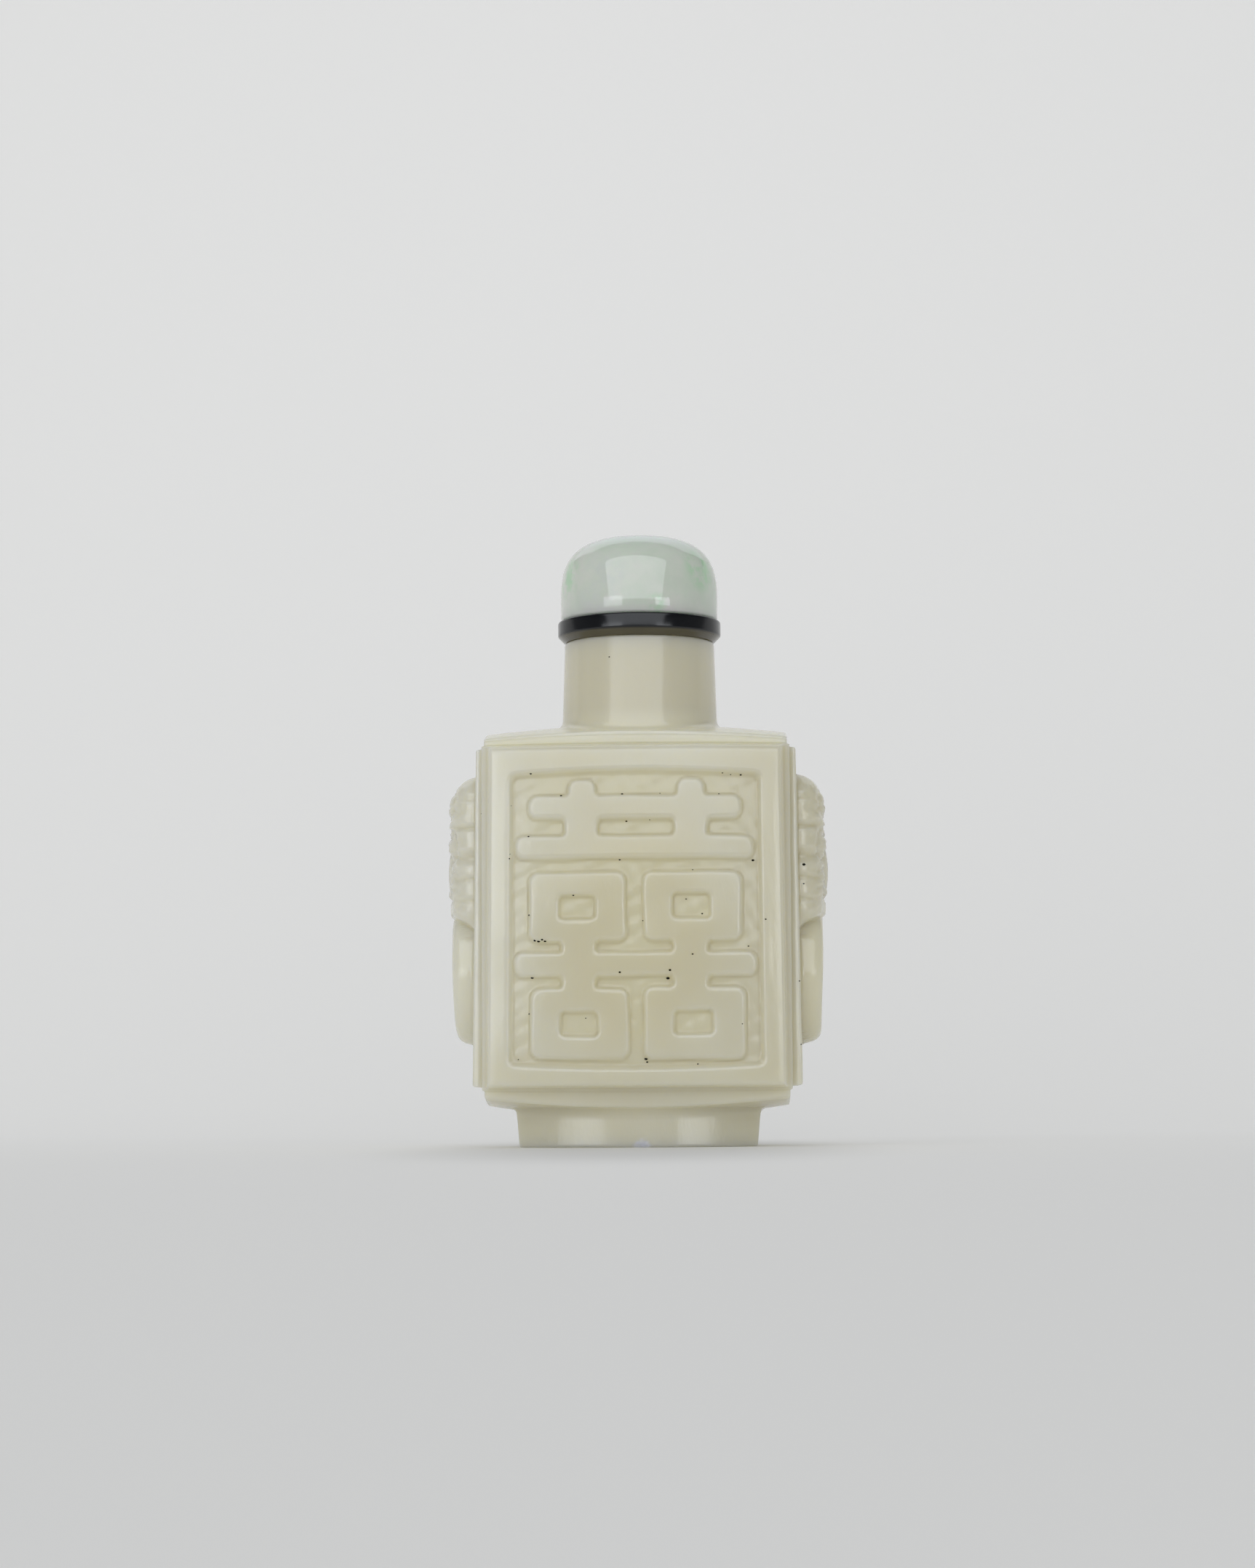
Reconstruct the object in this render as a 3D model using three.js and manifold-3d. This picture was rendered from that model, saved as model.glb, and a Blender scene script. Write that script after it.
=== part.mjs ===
import * as THREE from "three";
import { mergeVertices } from "three/addons/utils/BufferGeometryUtils.js";
import Module from "manifold-3d";

// A flattened square snuff bottle in pale jade, with a domed stopper on a glossy black collar.
// Millimetres, +Z up, the carved front towards -Y and +X to the right as the front is seen.
// The origin is on the ground, under the middle of the foot.

// Levels, each from the one below it
const undersideHeight = 3.0;
const undersideRise = 1.35;
const lowerTierHeight = 3.3;
const panelHeight = 35.1;
const shoulderRise = 3.05;
const neckLength = 8.85;

// Body in plan
const coreHalfWidth = 16.05;
const coreHalfDepth = 9.7;
const faceRadius = 70;
const tierInset = 0.25;
const shoulderFallSide = 0.97;
const shoulderFallFront = 1.66;

// Raised panels on the four sides
const frontPanelProud = 1.1;
const frontPanelInsetHigh = 0.95;
const frontPanelInsetLow = 0.65;
const sidePanelProudHigh = 0.65;
const sidePanelProudLow = 1.05;
const sidePanelInset = 0.85;

// Sunken field inside the frame, and the relief on it
const frameWidth = 2.0;
const frameWidthTop = 2.45;
const frameBow = 0.4;
const recessDepth = 0.85;
const reliefBelowFrame = 0.1;
const reliefMarginSide = 0.95;
const reliefMarginEnd = 1.1;
const strokeCorner = 0.75;

// Neck and hollow
const neckShift = 0.3;
const neckRadiusLow = 8.2;
const neckRadiusHigh = 7.95;
const neckFillet = 0.35;
const lipRounding = 0.35;
const boreRadius = 3.7;
const wallFront = 3.0;
const wallSide = 3.1;
const wallTop = 3.4;
const wallBottom = 4.0;
const cavitySquareness = 3.6;

// Foot
const footHalfWidth = 12.4;
const footHalfDepth = 8.2;
const footFaceRadius = 19.5;
const footRimWidth = 1.9;
const footHollowDepth = 1.0;

// Mask-and-ring handles
const handleTop = 38.9;
const handleBottom = 10.7;
const maskBottom = 23.9;
const maskProud = 3.2;
const maskHalfWidth = 6.1;
const maskRelief = 0.55;
const maskLobes = 4.5;
const maskLobe = 0.4;
const snoutDrop = 1.6;
const handleSink = 0.3;
const ringProudHigh = 2.6;
const ringProudLow = 2.1;
const ringHalfWidth = 5.9;
const ringHalfThickness = 1.45;
const ringFieldProud = 0.5;

// Stopper
const collarRadius = 8.65;
const collarHeight = 2.25;
const collarBevel = 0.68;
const collarRounding = 0.2;
const seatGap = 0.02;
const capRadius = 8.4;
const capShift = 0.1;
const capHeight = 9.4;
const capWaist = 3.05;
const capSquareness = 2.5;

// Fineness of the faceting
const roundSteps = 36;
const boreSteps = 24;
const arcSteps = 10;
const ringSteps = 8;
const ringRoundSteps = 28;
const cornerSteps = 3;

const panelLow = undersideHeight + lowerTierHeight;
const panelHigh = panelLow + panelHeight;
const shoulderTop = panelHigh + shoulderRise;
const lipHeight = shoulderTop + neckLength;
const frontHalfDepth = coreHalfDepth + frontPanelProud;
const cornerHalfDepth = coreHalfDepth - bowDrop(faceRadius, coreHalfWidth);
const sidePanelHalfDepth = cornerHalfDepth - sidePanelInset;

const wasm = await Module();
wasm.setup();

// How far an arc of this radius has fallen back at this distance from its middle
function bowDrop(radius, distance) {
  return radius - Math.sqrt(radius * radius - distance * distance);
}

function mix(low, high, share) {
  return low + (high - low) * share;
}

// A named closed geometry as a solid that can be joined and cut
function solid(geometry) {
  geometry.deleteAttribute("normal");
  geometry.deleteAttribute("uv");
  const merged = mergeVertices(geometry, 1e-5);
  const vertProperties = new Float32Array(merged.attributes.position.array);
  const triVerts = new Uint32Array(merged.index.array);
  return new wasm.Manifold(new wasm.Mesh({ numProp: 3, vertProperties, triVerts }));
}

function geometryOf(made) {
  const mesh = made.getMesh();
  const geometry = new THREE.BufferGeometry();
  geometry.setAttribute("position", new THREE.BufferAttribute(mesh.vertProperties, 3));
  geometry.setIndex(new THREE.BufferAttribute(mesh.triVerts, 1));
  return geometry;
}

function joined(solids) {
  return solids.reduce((all, one) => all.add(one));
}

// A plan outline raised from one level to another
function upright(shape, low, high, curveSegments = arcSteps) {
  const geometry = new THREE.ExtrudeGeometry(shape, { depth: high - low, bevelEnabled: false, curveSegments });
  geometry.translate(0, 0, low);
  return solid(geometry);
}

// A front-view outline, drawn in X and Z, pushed through from one depth to another
function throughDepth(shape, near, far, curveSegments = arcSteps) {
  const geometry = new THREE.ExtrudeGeometry(shape, { depth: far - near, bevelEnabled: false, curveSegments });
  geometry.rotateX(Math.PI / 2);
  geometry.translate(0, far, 0);
  return solid(geometry);
}

// A plan with straight ends, and a front and back that bow outwards
function bowedPlan(halfWidth, halfDepth, radius) {
  const turn = Math.asin(halfWidth / radius);
  const shape = new THREE.Shape();
  shape.absarc(0, radius - halfDepth, radius, -Math.PI / 2 - turn, -Math.PI / 2 + turn);
  shape.absarc(0, halfDepth - radius, radius, Math.PI / 2 - turn, Math.PI / 2 + turn);
  return shape;
}

// A four-sided front view, wider or narrower at its lower end
function taperedFace(halfLow, halfHigh, low, high) {
  const shape = new THREE.Shape();
  shape.moveTo(-halfLow, low);
  shape.lineTo(halfLow, low);
  shape.lineTo(halfHigh, high);
  shape.lineTo(-halfHigh, high);
  return shape;
}

// A closed solid on a grid. Two surfaces, each a point for every share along and up, and a rim between.
function gridSolid(stepsAlong, stepsUp, under, over) {
  const positions = [];
  const index = [];
  const columns = stepsAlong + 1;
  const layer = columns * (stepsUp + 1);
  for (const surface of [under, over]) {
    for (let row = 0; row <= stepsUp; row += 1) {
      for (let column = 0; column <= stepsAlong; column += 1) {
        positions.push(...surface(column / stepsAlong, row / stepsUp));
      }
    }
  }
  for (let row = 0; row < stepsUp; row += 1) {
    for (let column = 0; column < stepsAlong; column += 1) {
      const a = row * columns + column;
      const b = a + 1;
      const c = a + columns;
      const d = c + 1;
      index.push(a, d, b, a, c, d);
      index.push(layer + a, layer + b, layer + d, layer + a, layer + d, layer + c);
    }
  }
  const rim = rimOf(stepsAlong, stepsUp, columns);
  rim.forEach((from, place) => {
    const to = rim[(place + 1) % rim.length];
    index.push(from, to, layer + to, from, layer + to, layer + from);
  });
  const geometry = new THREE.BufferGeometry();
  geometry.setAttribute("position", new THREE.Float32BufferAttribute(positions, 3));
  geometry.setIndex(index);
  return solid(geometry);
}

// The grid points around the edge, counter-clockwise as seen from over the grid
function rimOf(stepsAlong, stepsUp, columns) {
  const rim = [];
  for (let column = 0; column < stepsAlong; column += 1) rim.push(column);
  for (let row = 0; row < stepsUp; row += 1) rim.push(row * columns + stepsAlong);
  for (let column = stepsAlong; column > 0; column -= 1) rim.push(stepsUp * columns + column);
  for (let row = stepsUp; row > 0; row -= 1) rim.push(row * columns);
  return rim;
}

function undersideAt(x, y) {
  const side = undersideRise * (x / coreHalfWidth) ** 2;
  const front = undersideRise * (y / coreHalfDepth) ** 2;
  return undersideHeight + side + front;
}

function shoulderAt(x, y) {
  const side = shoulderFallSide * (x / coreHalfWidth) ** 2;
  const front = shoulderFallFront * (y / coreHalfDepth) ** 2;
  return shoulderTop - side - front;
}

// The block behind the panels, with hipped shoulders above and a hipped underside below
function makeCore() {
  const surface = (heightAt) => (along, up) => {
    const x = mix(-coreHalfWidth, coreHalfWidth, along);
    const y = mix(-coreHalfDepth, coreHalfDepth, up);
    return [x, y, heightAt(x, y)];
  };
  const tiers = gridSolid(10, 8, surface(undersideAt), surface(shoulderAt));
  const tierPlan = bowedPlan(coreHalfWidth - tierInset, coreHalfDepth - tierInset, faceRadius);
  const corePlan = bowedPlan(coreHalfWidth, coreHalfDepth, faceRadius);
  const edge = tierInset;
  return joined([
    tiers.intersect(upright(tierPlan, 0, lipHeight)),
    upright(corePlan, panelLow - edge, panelHigh + edge),
  ]);
}

function frontPanelHalfWidth(level) {
  const share = (level - panelLow) / panelHeight;
  return coreHalfWidth - mix(frontPanelInsetLow, frontPanelInsetHigh, share);
}

// One raised panel each on the front and the back
function makeFrontPanels() {
  const plan = bowedPlan(coreHalfWidth, frontHalfDepth, faceRadius);
  const face = taperedFace(frontPanelHalfWidth(panelLow), frontPanelHalfWidth(panelHigh), panelLow, panelHigh);
  return upright(plan, panelLow, panelHigh).intersect(throughDepth(face, -frontHalfDepth, frontHalfDepth));
}

function makeSidePanels() {
  const low = coreHalfWidth + sidePanelProudLow;
  const high = coreHalfWidth + sidePanelProudHigh;
  return throughDepth(taperedFace(low, high, panelLow, panelHigh), -sidePanelHalfDepth, sidePanelHalfDepth);
}

// The sunken field's outline: straight sides, upper and lower edges bowed outwards
function recessOutline() {
  const low = panelLow + frameWidth;
  const high = panelHigh - frameWidthTop;
  const halfLow = frontPanelHalfWidth(low) - frameWidth;
  const halfHigh = frontPanelHalfWidth(high) - frameWidth;
  const shape = new THREE.Shape();
  shape.moveTo(-halfLow, low);
  shape.quadraticCurveTo(0, low - 2 * frameBow, halfLow, low);
  shape.lineTo(halfHigh, high);
  shape.quadraticCurveTo(0, high + 2 * frameBow, -halfHigh, high);
  return shape;
}

// What is cut away inside the frames, on the front and the back
function makeRecessCutter() {
  const reach = frontHalfDepth + 1;
  const floorPlan = bowedPlan(coreHalfWidth, frontHalfDepth - recessDepth, faceRadius);
  return throughDepth(recessOutline(), -reach, reach).subtract(upright(floorPlan, 0, lipHeight));
}

// The relief's extent on the sunken field
const reliefLow = panelLow + frameWidth + reliefMarginEnd;
const reliefHigh = panelHigh - frameWidthTop - reliefMarginEnd;
const reliefHalfWidth = frontPanelHalfWidth(reliefHigh) - frameWidth - reliefMarginSide;

function roundedRectangle(left, right, low, high, corner, Kind = THREE.Shape) {
  const shape = new Kind();
  shape.absarc(right - corner, low + corner, corner, -Math.PI / 2, 0);
  shape.absarc(right - corner, high - corner, corner, 0, Math.PI / 2);
  shape.absarc(left + corner, high - corner, corner, Math.PI / 2, Math.PI);
  shape.absarc(left + corner, low + corner, corner, Math.PI, Math.PI * 1.5);
  shape.closePath();
  return shape;
}

// A block of relief. Its places are shares of the relief's half width and of its height.
function reliefBlock(left, right, low, high, hole) {
  const across = (share) => share * reliefHalfWidth;
  const up = (share) => mix(reliefLow, reliefHigh, share);
  const shape = roundedRectangle(across(left), across(right), up(low), up(high), strokeCorner);
  if (hole) {
    const [holeLeft, holeRight, holeLow, holeHigh] = hole;
    const corner = strokeCorner / 2;
    shape.holes.push(
      roundedRectangle(across(holeLeft), across(holeRight), up(holeLow), up(holeHigh), corner, THREE.Path),
    );
  }
  return throughDepth(shape, -frontHalfDepth, -coreHalfDepth / 2, cornerSteps);
}

// The doubled wedding emblem: bars right across, and two alike halves of posts and boxes
function makeEmblem() {
  const bars = [
    reliefBlock(-1, 1, 0.297, 0.374),
    reliefBlock(-1, 1, 0.723, 0.795),
    reliefBlock(-0.89, 0.89, 0.867, 0.941),
  ];
  for (const side of [-1, 1]) {
    const block = (near, far, low, high, hole) => {
      const [left, right] = side < 0 ? [-far, -near] : [near, far];
      const placed = hole && (side < 0 ? [-hole[1], -hole[0], hole[2], hole[3]] : hole);
      return reliefBlock(left, right, low, high, placed);
    };
    bars.push(
      block(0.08, 0.885, 0, 0.247, [0.31, 0.65, 0.077, 0.173]),
      block(0.085, 0.885, 0.425, 0.663, [0.31, 0.65, 0.493, 0.594]),
      block(0.345, 0.59, 0.22, 0.45),
      block(0.33, 0.59, 0.75, 0.9),
      block(0.36, 0.565, 0.75, 1),
    );
  }
  const topPlan = bowedPlan(coreHalfWidth, frontHalfDepth - reliefBelowFrame, faceRadius);
  return joined(bars).intersect(upright(topPlan, 0, lipHeight));
}

// A turned solid from radius and height pairs that start and end on the axis
function turned(profile, shift, steps = roundSteps) {
  const geometry = new THREE.LatheGeometry(profile.map(([r, z]) => new THREE.Vector2(r, z)), steps);
  geometry.rotateX(Math.PI / 2);
  geometry.translate(shift, 0, 0);
  return geometry;
}

// Points of a quarter round between two directions, given in quarter turns
function quarter(centreR, centreZ, radius, from, to, steps = 3) {
  const points = [];
  for (let step = 0; step <= steps; step += 1) {
    const angle = mix(from, to, step / steps) * (Math.PI / 2);
    points.push([centreR + radius * Math.cos(angle), centreZ + radius * Math.sin(angle)]);
  }
  return points;
}

function makeNeck() {
  const root = shoulderTop;
  return solid(turned([
    [0, panelHigh],
    [neckRadiusLow + neckFillet, panelHigh],
    [neckRadiusLow + neckFillet, root - shoulderFallFront / 2],
    [neckRadiusLow, root + neckFillet],
    ...quarter(neckRadiusHigh - lipRounding, lipHeight - lipRounding, lipRounding, 0, 1),
    [0, lipHeight],
  ], neckShift));
}

function makeFoot() {
  const plan = bowedPlan(footHalfWidth, footHalfDepth, footFaceRadius);
  const inner = bowedPlan(footHalfWidth - footRimWidth, footHalfDepth - footRimWidth, footFaceRadius);
  const block = upright(plan, 0, undersideHeight + 2 * undersideRise);
  return block.subtract(upright(inner, -1, footHollowDepth));
}

// The hollow: a squared-off egg inside the walls, open through the neck
function makeHollow() {
  const halfX = coreHalfWidth - wallSide;
  const halfY = frontHalfDepth - recessDepth - wallFront;
  const low = undersideHeight + wallBottom;
  const high = shoulderTop - wallTop;
  const middle = (low + high) / 2;
  const halfZ = (high - low) / 2;
  const geometry = new THREE.SphereGeometry(1, boreSteps + 4, 14);
  geometry.rotateX(Math.PI / 2);
  const place = geometry.attributes.position;
  for (let i = 0; i < place.count; i += 1) {
    const [x, y, z] = [place.getX(i), place.getY(i), place.getZ(i)];
    const power = cavitySquareness;
    const size = (Math.abs(x) ** power + Math.abs(y) ** power + Math.abs(z) ** power) ** (1 / power);
    place.setXYZ(i, (x / size) * halfX, (y / size) * halfY, middle + (z / size) * halfZ);
  }
  const bore = turned([[0, middle], [boreRadius, middle], [boreRadius, lipHeight + 1], [0, lipHeight + 1]],
    neckShift, boreSteps);
  return solid(geometry).add(solid(bore));
}

// A smooth hill, 1 at its middle and 0 from its edge outwards
function hill(distance, reach) {
  const share = Math.min(1, Math.abs(distance) / reach);
  return (1 - share * share) ** 2;
}

const maskHeight = handleTop - maskBottom;
const ringRadius = (maskBottom - handleBottom) / 2;

// The outer face of the side panel at a level
function sideWallAt(level) {
  return coreHalfWidth + mix(sidePanelProudLow, sidePanelProudHigh, (level - panelLow) / panelHeight);
}

// The mask's half width at a share of its height: jaw, cheeks, brow and curled horns, in lobes
function maskHalfWidthAt(share) {
  const lobes = maskLobe * Math.abs(Math.sin(share * Math.PI * maskLobes));
  const crown = Math.max(0, (share - 0.8) / 0.2);
  return (maskHalfWidth - maskLobe) * mix(0.88, 1, Math.sqrt(share)) * mix(1, 0.6, crown ** 2) + lobes;
}

// How far the mask's face stands out, at a share across from its middle and a share up
function maskProudAt(across, share) {
  const y = Math.abs(across) * maskHalfWidthAt(share);
  const up = (place) => (share - place) * maskHeight;
  const edge = Math.sqrt(1 - Math.abs(across) ** 6);
  const crown = Math.sqrt(1 - Math.max(0, (share - 0.75) / 0.25) ** 4);
  const nose = hill(y, 1.3) * hill(up(0.32), 4.5);
  const snout = 0.8 * hill(Math.hypot(y, up(0.08)), 2.6);
  const eye = hill(Math.hypot(y - 2.6, up(0.5)), 1.4);
  const socket = -0.6 * hill(Math.hypot(y - 2.6, up(0.5)) - 1.9, 0.7);
  const brow = 0.9 * hill(Math.hypot(y - 2.7, up(0.62)) - 2.6, 0.8) * (share > 0.62 ? 1 : 0);
  const cheek = 0.8 * hill(Math.hypot(y - 4, up(0.22)), 1.7);
  const horn = hill(Math.hypot(y - 3, up(0.88)), 1.7) - hill(Math.hypot(y - 3, up(0.88)), 0.7);
  const relief = Math.max(nose, snout, eye, brow, cheek, horn) + socket;
  return (maskProud - maskRelief + maskRelief * relief) * edge * crown;
}

// The animal mask: a carved sheet over the side panel, closer meshed towards its edges
function makeMask() {
  const place = (along, up, proudOf) => {
    const across = Math.sin((along - 0.5) * Math.PI);
    const share = (1 - Math.cos(up * Math.PI)) / 2;
    const low = maskBottom - snoutDrop * hill(across, 0.6);
    const z = mix(low, handleTop, share);
    const buried = along === 0 || along === 1 || up === 0 || up === 1;
    const proud = buried ? -handleSink : proudOf(across, share);
    return [sideWallAt(z) + proud, across * maskHalfWidthAt(share), z];
  };
  return gridSolid(18, 26, (along, up) => place(along, up, () => -2 * handleSink).map(sunk),
    (along, up) => place(along, up, maskProudAt));
}

function sunk(value, axis) {
  return axis === 0 ? value - handleSink : value;
}

// The fixed ring under the mask, leaning in at its foot, with a thin raised field inside it
function makeRing() {
  const crown = (ringProudHigh + ringProudLow) / 2;
  const tube = ringHalfThickness;
  const profile = [[0, -handleSink], [ringRadius, -handleSink]];
  for (let step = 0; step <= ringSteps; step += 1) {
    const angle = (step / ringSteps) * Math.PI;
    profile.push([ringRadius - tube + tube * Math.cos(angle), crown * Math.sin(angle) ** 0.8]);
  }
  profile[profile.length - 1][1] = ringFieldProud;
  profile.push([0, ringFieldProud]);
  const geometry = turned(profile, 0, ringRoundSteps);
  geometry.scale(1, ringHalfWidth / ringRadius, 1);
  const middle = handleBottom + ringRadius;
  const wallLean = sideWallAt(maskBottom) - sideWallAt(handleBottom);
  const lean = Math.atan((ringProudHigh - ringProudLow + wallLean) / (maskBottom - handleBottom));
  geometry.rotateY(Math.PI / 2 + lean);
  geometry.translate(sideWallAt(middle), 0, middle);
  return solid(geometry);
}

// Both handles: one made on the +X side, and its turned copy on the other
function makeHandles() {
  const right = makeMask().add(makeRing());
  const half = geometryOf(right);
  half.rotateZ(Math.PI);
  return right.add(solid(half));
}

function makeBottle() {
  const outside = joined([
    makeCore(),
    makeFrontPanels(),
    makeSidePanels(),
  ]).subtract(makeRecessCutter());
  const carved = joined([outside, makeEmblem(), makeNeck(), makeFoot(), makeHandles()]);
  return geometryOf(carved.subtract(makeHollow()));
}

// The black disc on the lip, bevelled below down to the neck's own width
function makeCollar() {
  const low = lipHeight + seatGap;
  const high = low + collarHeight;
  return turned([
    [0, low],
    [neckRadiusHigh, low],
    [collarRadius, low + collarBevel],
    ...quarter(collarRadius - collarRounding, high - collarRounding, collarRounding, 0, 1, 2),
    [0, high],
  ], neckShift);
}

// The domed cap: a squared-off half egg on short, slightly drawn-in sides
function makeCap() {
  const low = lipHeight + collarHeight + 2 * seatGap;
  const widest = low + capWaist;
  const rise = capHeight - capWaist;
  const profile = [[0, low], [capRadius * 0.98, low], [capRadius, widest]];
  for (let step = 1; step <= arcSteps; step += 1) {
    const angle = (step / arcSteps) * (Math.PI / 2);
    const power = 2 / capSquareness;
    profile.push([capRadius * Math.cos(angle) ** power, widest + rise * Math.sin(angle) ** power]);
  }
  profile[profile.length - 1][0] = 0;
  return turned(profile, neckShift + capShift);
}

function named(name, geometry, look) {
  const mesh = new THREE.Mesh(geometry, new THREE.MeshStandardMaterial(look));
  mesh.name = name;
  return mesh;
}

const group = new THREE.Group();
group.add(named("bottle", makeBottle(), { color: 0xc4c1ab, roughness: 0.32, metalness: 0 }));
group.add(named("stopper_collar", makeCollar(), { color: 0x16171a, roughness: 0.2, metalness: 0 }));
group.add(named("stopper_cap", makeCap(), { color: 0xb9cdbf, roughness: 0.15, metalness: 0 }));

export default group;
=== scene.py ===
import math

import bpy
import numpy as np
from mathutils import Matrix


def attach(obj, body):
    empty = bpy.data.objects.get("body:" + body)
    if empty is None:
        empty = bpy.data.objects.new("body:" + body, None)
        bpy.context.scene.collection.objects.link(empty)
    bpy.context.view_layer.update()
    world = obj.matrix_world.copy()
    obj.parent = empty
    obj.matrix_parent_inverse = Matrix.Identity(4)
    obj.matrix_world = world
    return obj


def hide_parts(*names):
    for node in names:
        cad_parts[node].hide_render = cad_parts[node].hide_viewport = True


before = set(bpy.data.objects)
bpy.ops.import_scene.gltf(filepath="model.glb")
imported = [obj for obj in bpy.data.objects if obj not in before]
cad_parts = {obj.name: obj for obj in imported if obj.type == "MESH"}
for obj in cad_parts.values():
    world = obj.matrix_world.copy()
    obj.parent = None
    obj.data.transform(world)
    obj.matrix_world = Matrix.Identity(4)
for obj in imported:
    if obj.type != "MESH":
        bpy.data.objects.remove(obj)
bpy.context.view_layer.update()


# Camera
# A long lens near the height of the foot, almost square to the front, looking slightly upwards.
# It is turned a little to the right and rolled slightly. Its sizes are in metres.
MM = 0.001
LENS, SENSOR = 81.15, 36
NEAREST = 10 * MM
DISTANCE, CAMERA_HEIGHT, CAMERA_SIDE = 374 * MM, 5 * MM, -1.06 * MM
PITCH, TURN, ROLL = math.radians(5.09), math.radians(1.8), math.radians(0.35)


def make_camera():
    """Places the camera in the bottle's frame: its axes turned, pitched and rolled from level."""
    level_ahead = np.array([-math.sin(TURN), math.cos(TURN), 0.0])
    level_right = np.array([math.cos(TURN), math.sin(TURN), 0.0])
    ahead = level_ahead * math.cos(PITCH) + np.array([0.0, 0.0, math.sin(PITCH)])
    level_up = np.cross(level_right, ahead)
    matrix = np.eye(4)
    matrix[:3, 0] = math.cos(ROLL) * level_right - math.sin(ROLL) * level_up
    matrix[:3, 1] = math.sin(ROLL) * level_right + math.cos(ROLL) * level_up
    matrix[:3, 2] = -ahead
    matrix[:3, 3] = level_right * CAMERA_SIDE - level_ahead * DISTANCE + [0.0, 0.0, CAMERA_HEIGHT]
    data = bpy.data.cameras.new("camera")
    data.lens = LENS
    data.sensor_width = SENSOR
    data.clip_start = NEAREST
    camera = bpy.data.objects.new("camera", data)
    bpy.context.collection.objects.link(camera)
    camera.matrix_world = matrix.T.tolist()
    bpy.context.scene.camera = camera


make_camera()
bpy.context.scene.view_settings.view_transform = "Standard"


# Stage
# A pale matt paper that sweeps up all round into a bowl, so that no horizon shows behind the
# bottle. It is flat under the object and ahead, and glows a little behind it. Well out of view it
# is painted dark grey, a painted shade that stands in for a dim room. Its sizes are in metres.
STAGE_COLUMNS = 96
FLAT_AHEAD, FLAT_BEHIND = 1.6, 0.04
FLAT_SHARES = (0.25, 0.5, 1.0)
SWEEP_RADIUS = 0.62
SWEEP_ANGLES = np.linspace(0.02, 1.35, 40)
PAPER_COLOUR = (0.82, 0.817, 0.803, 1)
# Painted shade: the far paper's dark grey stands in for a dim room
DIM_ROOM_SHADE_COLOUR = (0.2, 0.2, 0.2, 1)
PAPER_ROUGHNESS, MATT_SHEEN = 0.9, 0.1
# Where the paper turns to the painted shade's dark grey, which stands in for a dim room
TONE_CENTRE, TONE_REACH = (0, 0.55, 0), (0.95, 1.2)
GLOW_CENTRE, GLOW_REACH = (0, 0.5, 0.4), (0.1, 1.0)
GLOW_NEAR, GLOW_FAR = 0.27, 0.085
# Where the glow is held back under the foot, and the share left there
SHADE_CENTRE, SHADE_STRETCH, SHADE_REACH = (0, -0.02, 0), (34, 10, 10), (0.25, 1.0)
SHADE_LEFT = 0.1


def add_mesh(name, points, faces):
    """A new smooth mesh object from points in metres and lists of corner numbers."""
    mesh = bpy.data.meshes.new(name)
    mesh.from_pydata(points.tolist(), [], faces)
    mesh.polygons.foreach_set("use_smooth", np.full(len(mesh.polygons), True))
    mesh.update()
    piece = bpy.data.objects.new(name, mesh)
    bpy.context.collection.objects.link(piece)
    return piece


def ring_faces(rows, columns):
    """Quads between closed rings, and triangles to a middle point before and after them."""
    here = np.arange(columns)
    after = (here + 1) % columns
    low = np.arange(rows - 1)[:, None] * columns
    high = low + columns
    quads = np.stack([low + here, low + after, high + after, high + here], axis=2)
    last = (rows - 1) * columns
    start = np.stack([after, here, np.full(columns, rows * columns)], axis=1)
    end = np.stack([last + here, last + after, np.full(columns, rows * columns + 1)], axis=1)
    return quads.reshape(-1, 4), start, end


def add_rings(name, rows, inwards=False, open_end=False):
    """A mesh from closed rings of points in metres, its ends closed by their middle points."""
    rows = np.asarray(rows)
    quads, start, end = ring_faces(*rows.shape[:2])
    points = np.concatenate([rows.reshape(-1, 3), rows[:1].mean(axis=1), rows[-1:].mean(axis=1)])
    groups = [quads, start, end]
    if open_end:
        points, groups = points[:-1], groups[:-1]
    if inwards:
        groups = [group[:, ::-1] for group in groups]
    return add_mesh(name, points, [face for group in groups for face in group.tolist()])


def new_material(name, colour, roughness):
    """A new material with its node tree and its Principled shader."""
    material = bpy.data.materials.new(name)
    material.use_nodes = True
    shader = material.node_tree.nodes["Principled BSDF"]
    shader.inputs["Base Color"].default_value = colour
    shader.inputs["Roughness"].default_value = roughness
    return material, material.node_tree, shader


def fill(tree, node, inputs):
    """Sets a node's inputs, each to a constant or to another node's output."""
    for name, value in inputs.items():
        if isinstance(value, bpy.types.NodeSocket):
            tree.links.new(value, node.inputs[name])
        else:
            node.inputs[name].default_value = value
    return node


def add_node(tree, kind, inputs, **settings):
    """A node with its settings and inputs."""
    node = tree.nodes.new(kind)
    for name, value in settings.items():
        setattr(node, name, value)
    return fill(tree, node, inputs)


def math_node(tree, operation, *values):
    """The result of a sum on numbers."""
    made = add_node(tree, "ShaderNodeMath", dict(enumerate(values)), operation=operation)
    return made.outputs["Value"]


def vector_node(tree, operation, *values):
    """The result of a sum on vectors."""
    made = add_node(tree, "ShaderNodeVectorMath", dict(enumerate(values)), operation=operation)
    return made.outputs["Vector"]


def object_place(tree):
    """Where a point lies on the object, in metres."""
    return add_node(tree, "ShaderNodeTexCoord", {}).outputs["Object"]


def spread(tree, value, reach, values=(0, 1), shape="SMOOTHSTEP"):
    """A value brought from one span to another, easing at both ends unless linear."""
    inputs = {"Value": value, "From Min": reach[0], "From Max": reach[1]}
    inputs.update({"To Min": values[0], "To Max": values[1]})
    return add_node(tree, "ShaderNodeMapRange", inputs, interpolation_type=shape).outputs["Result"]


def blend(tree, share, first, second):
    """A colour between two others."""
    made = add_node(tree, "ShaderNodeMix", {0: share, 6: first, 7: second}, data_type="RGBA")
    return made.outputs[2]


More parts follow.
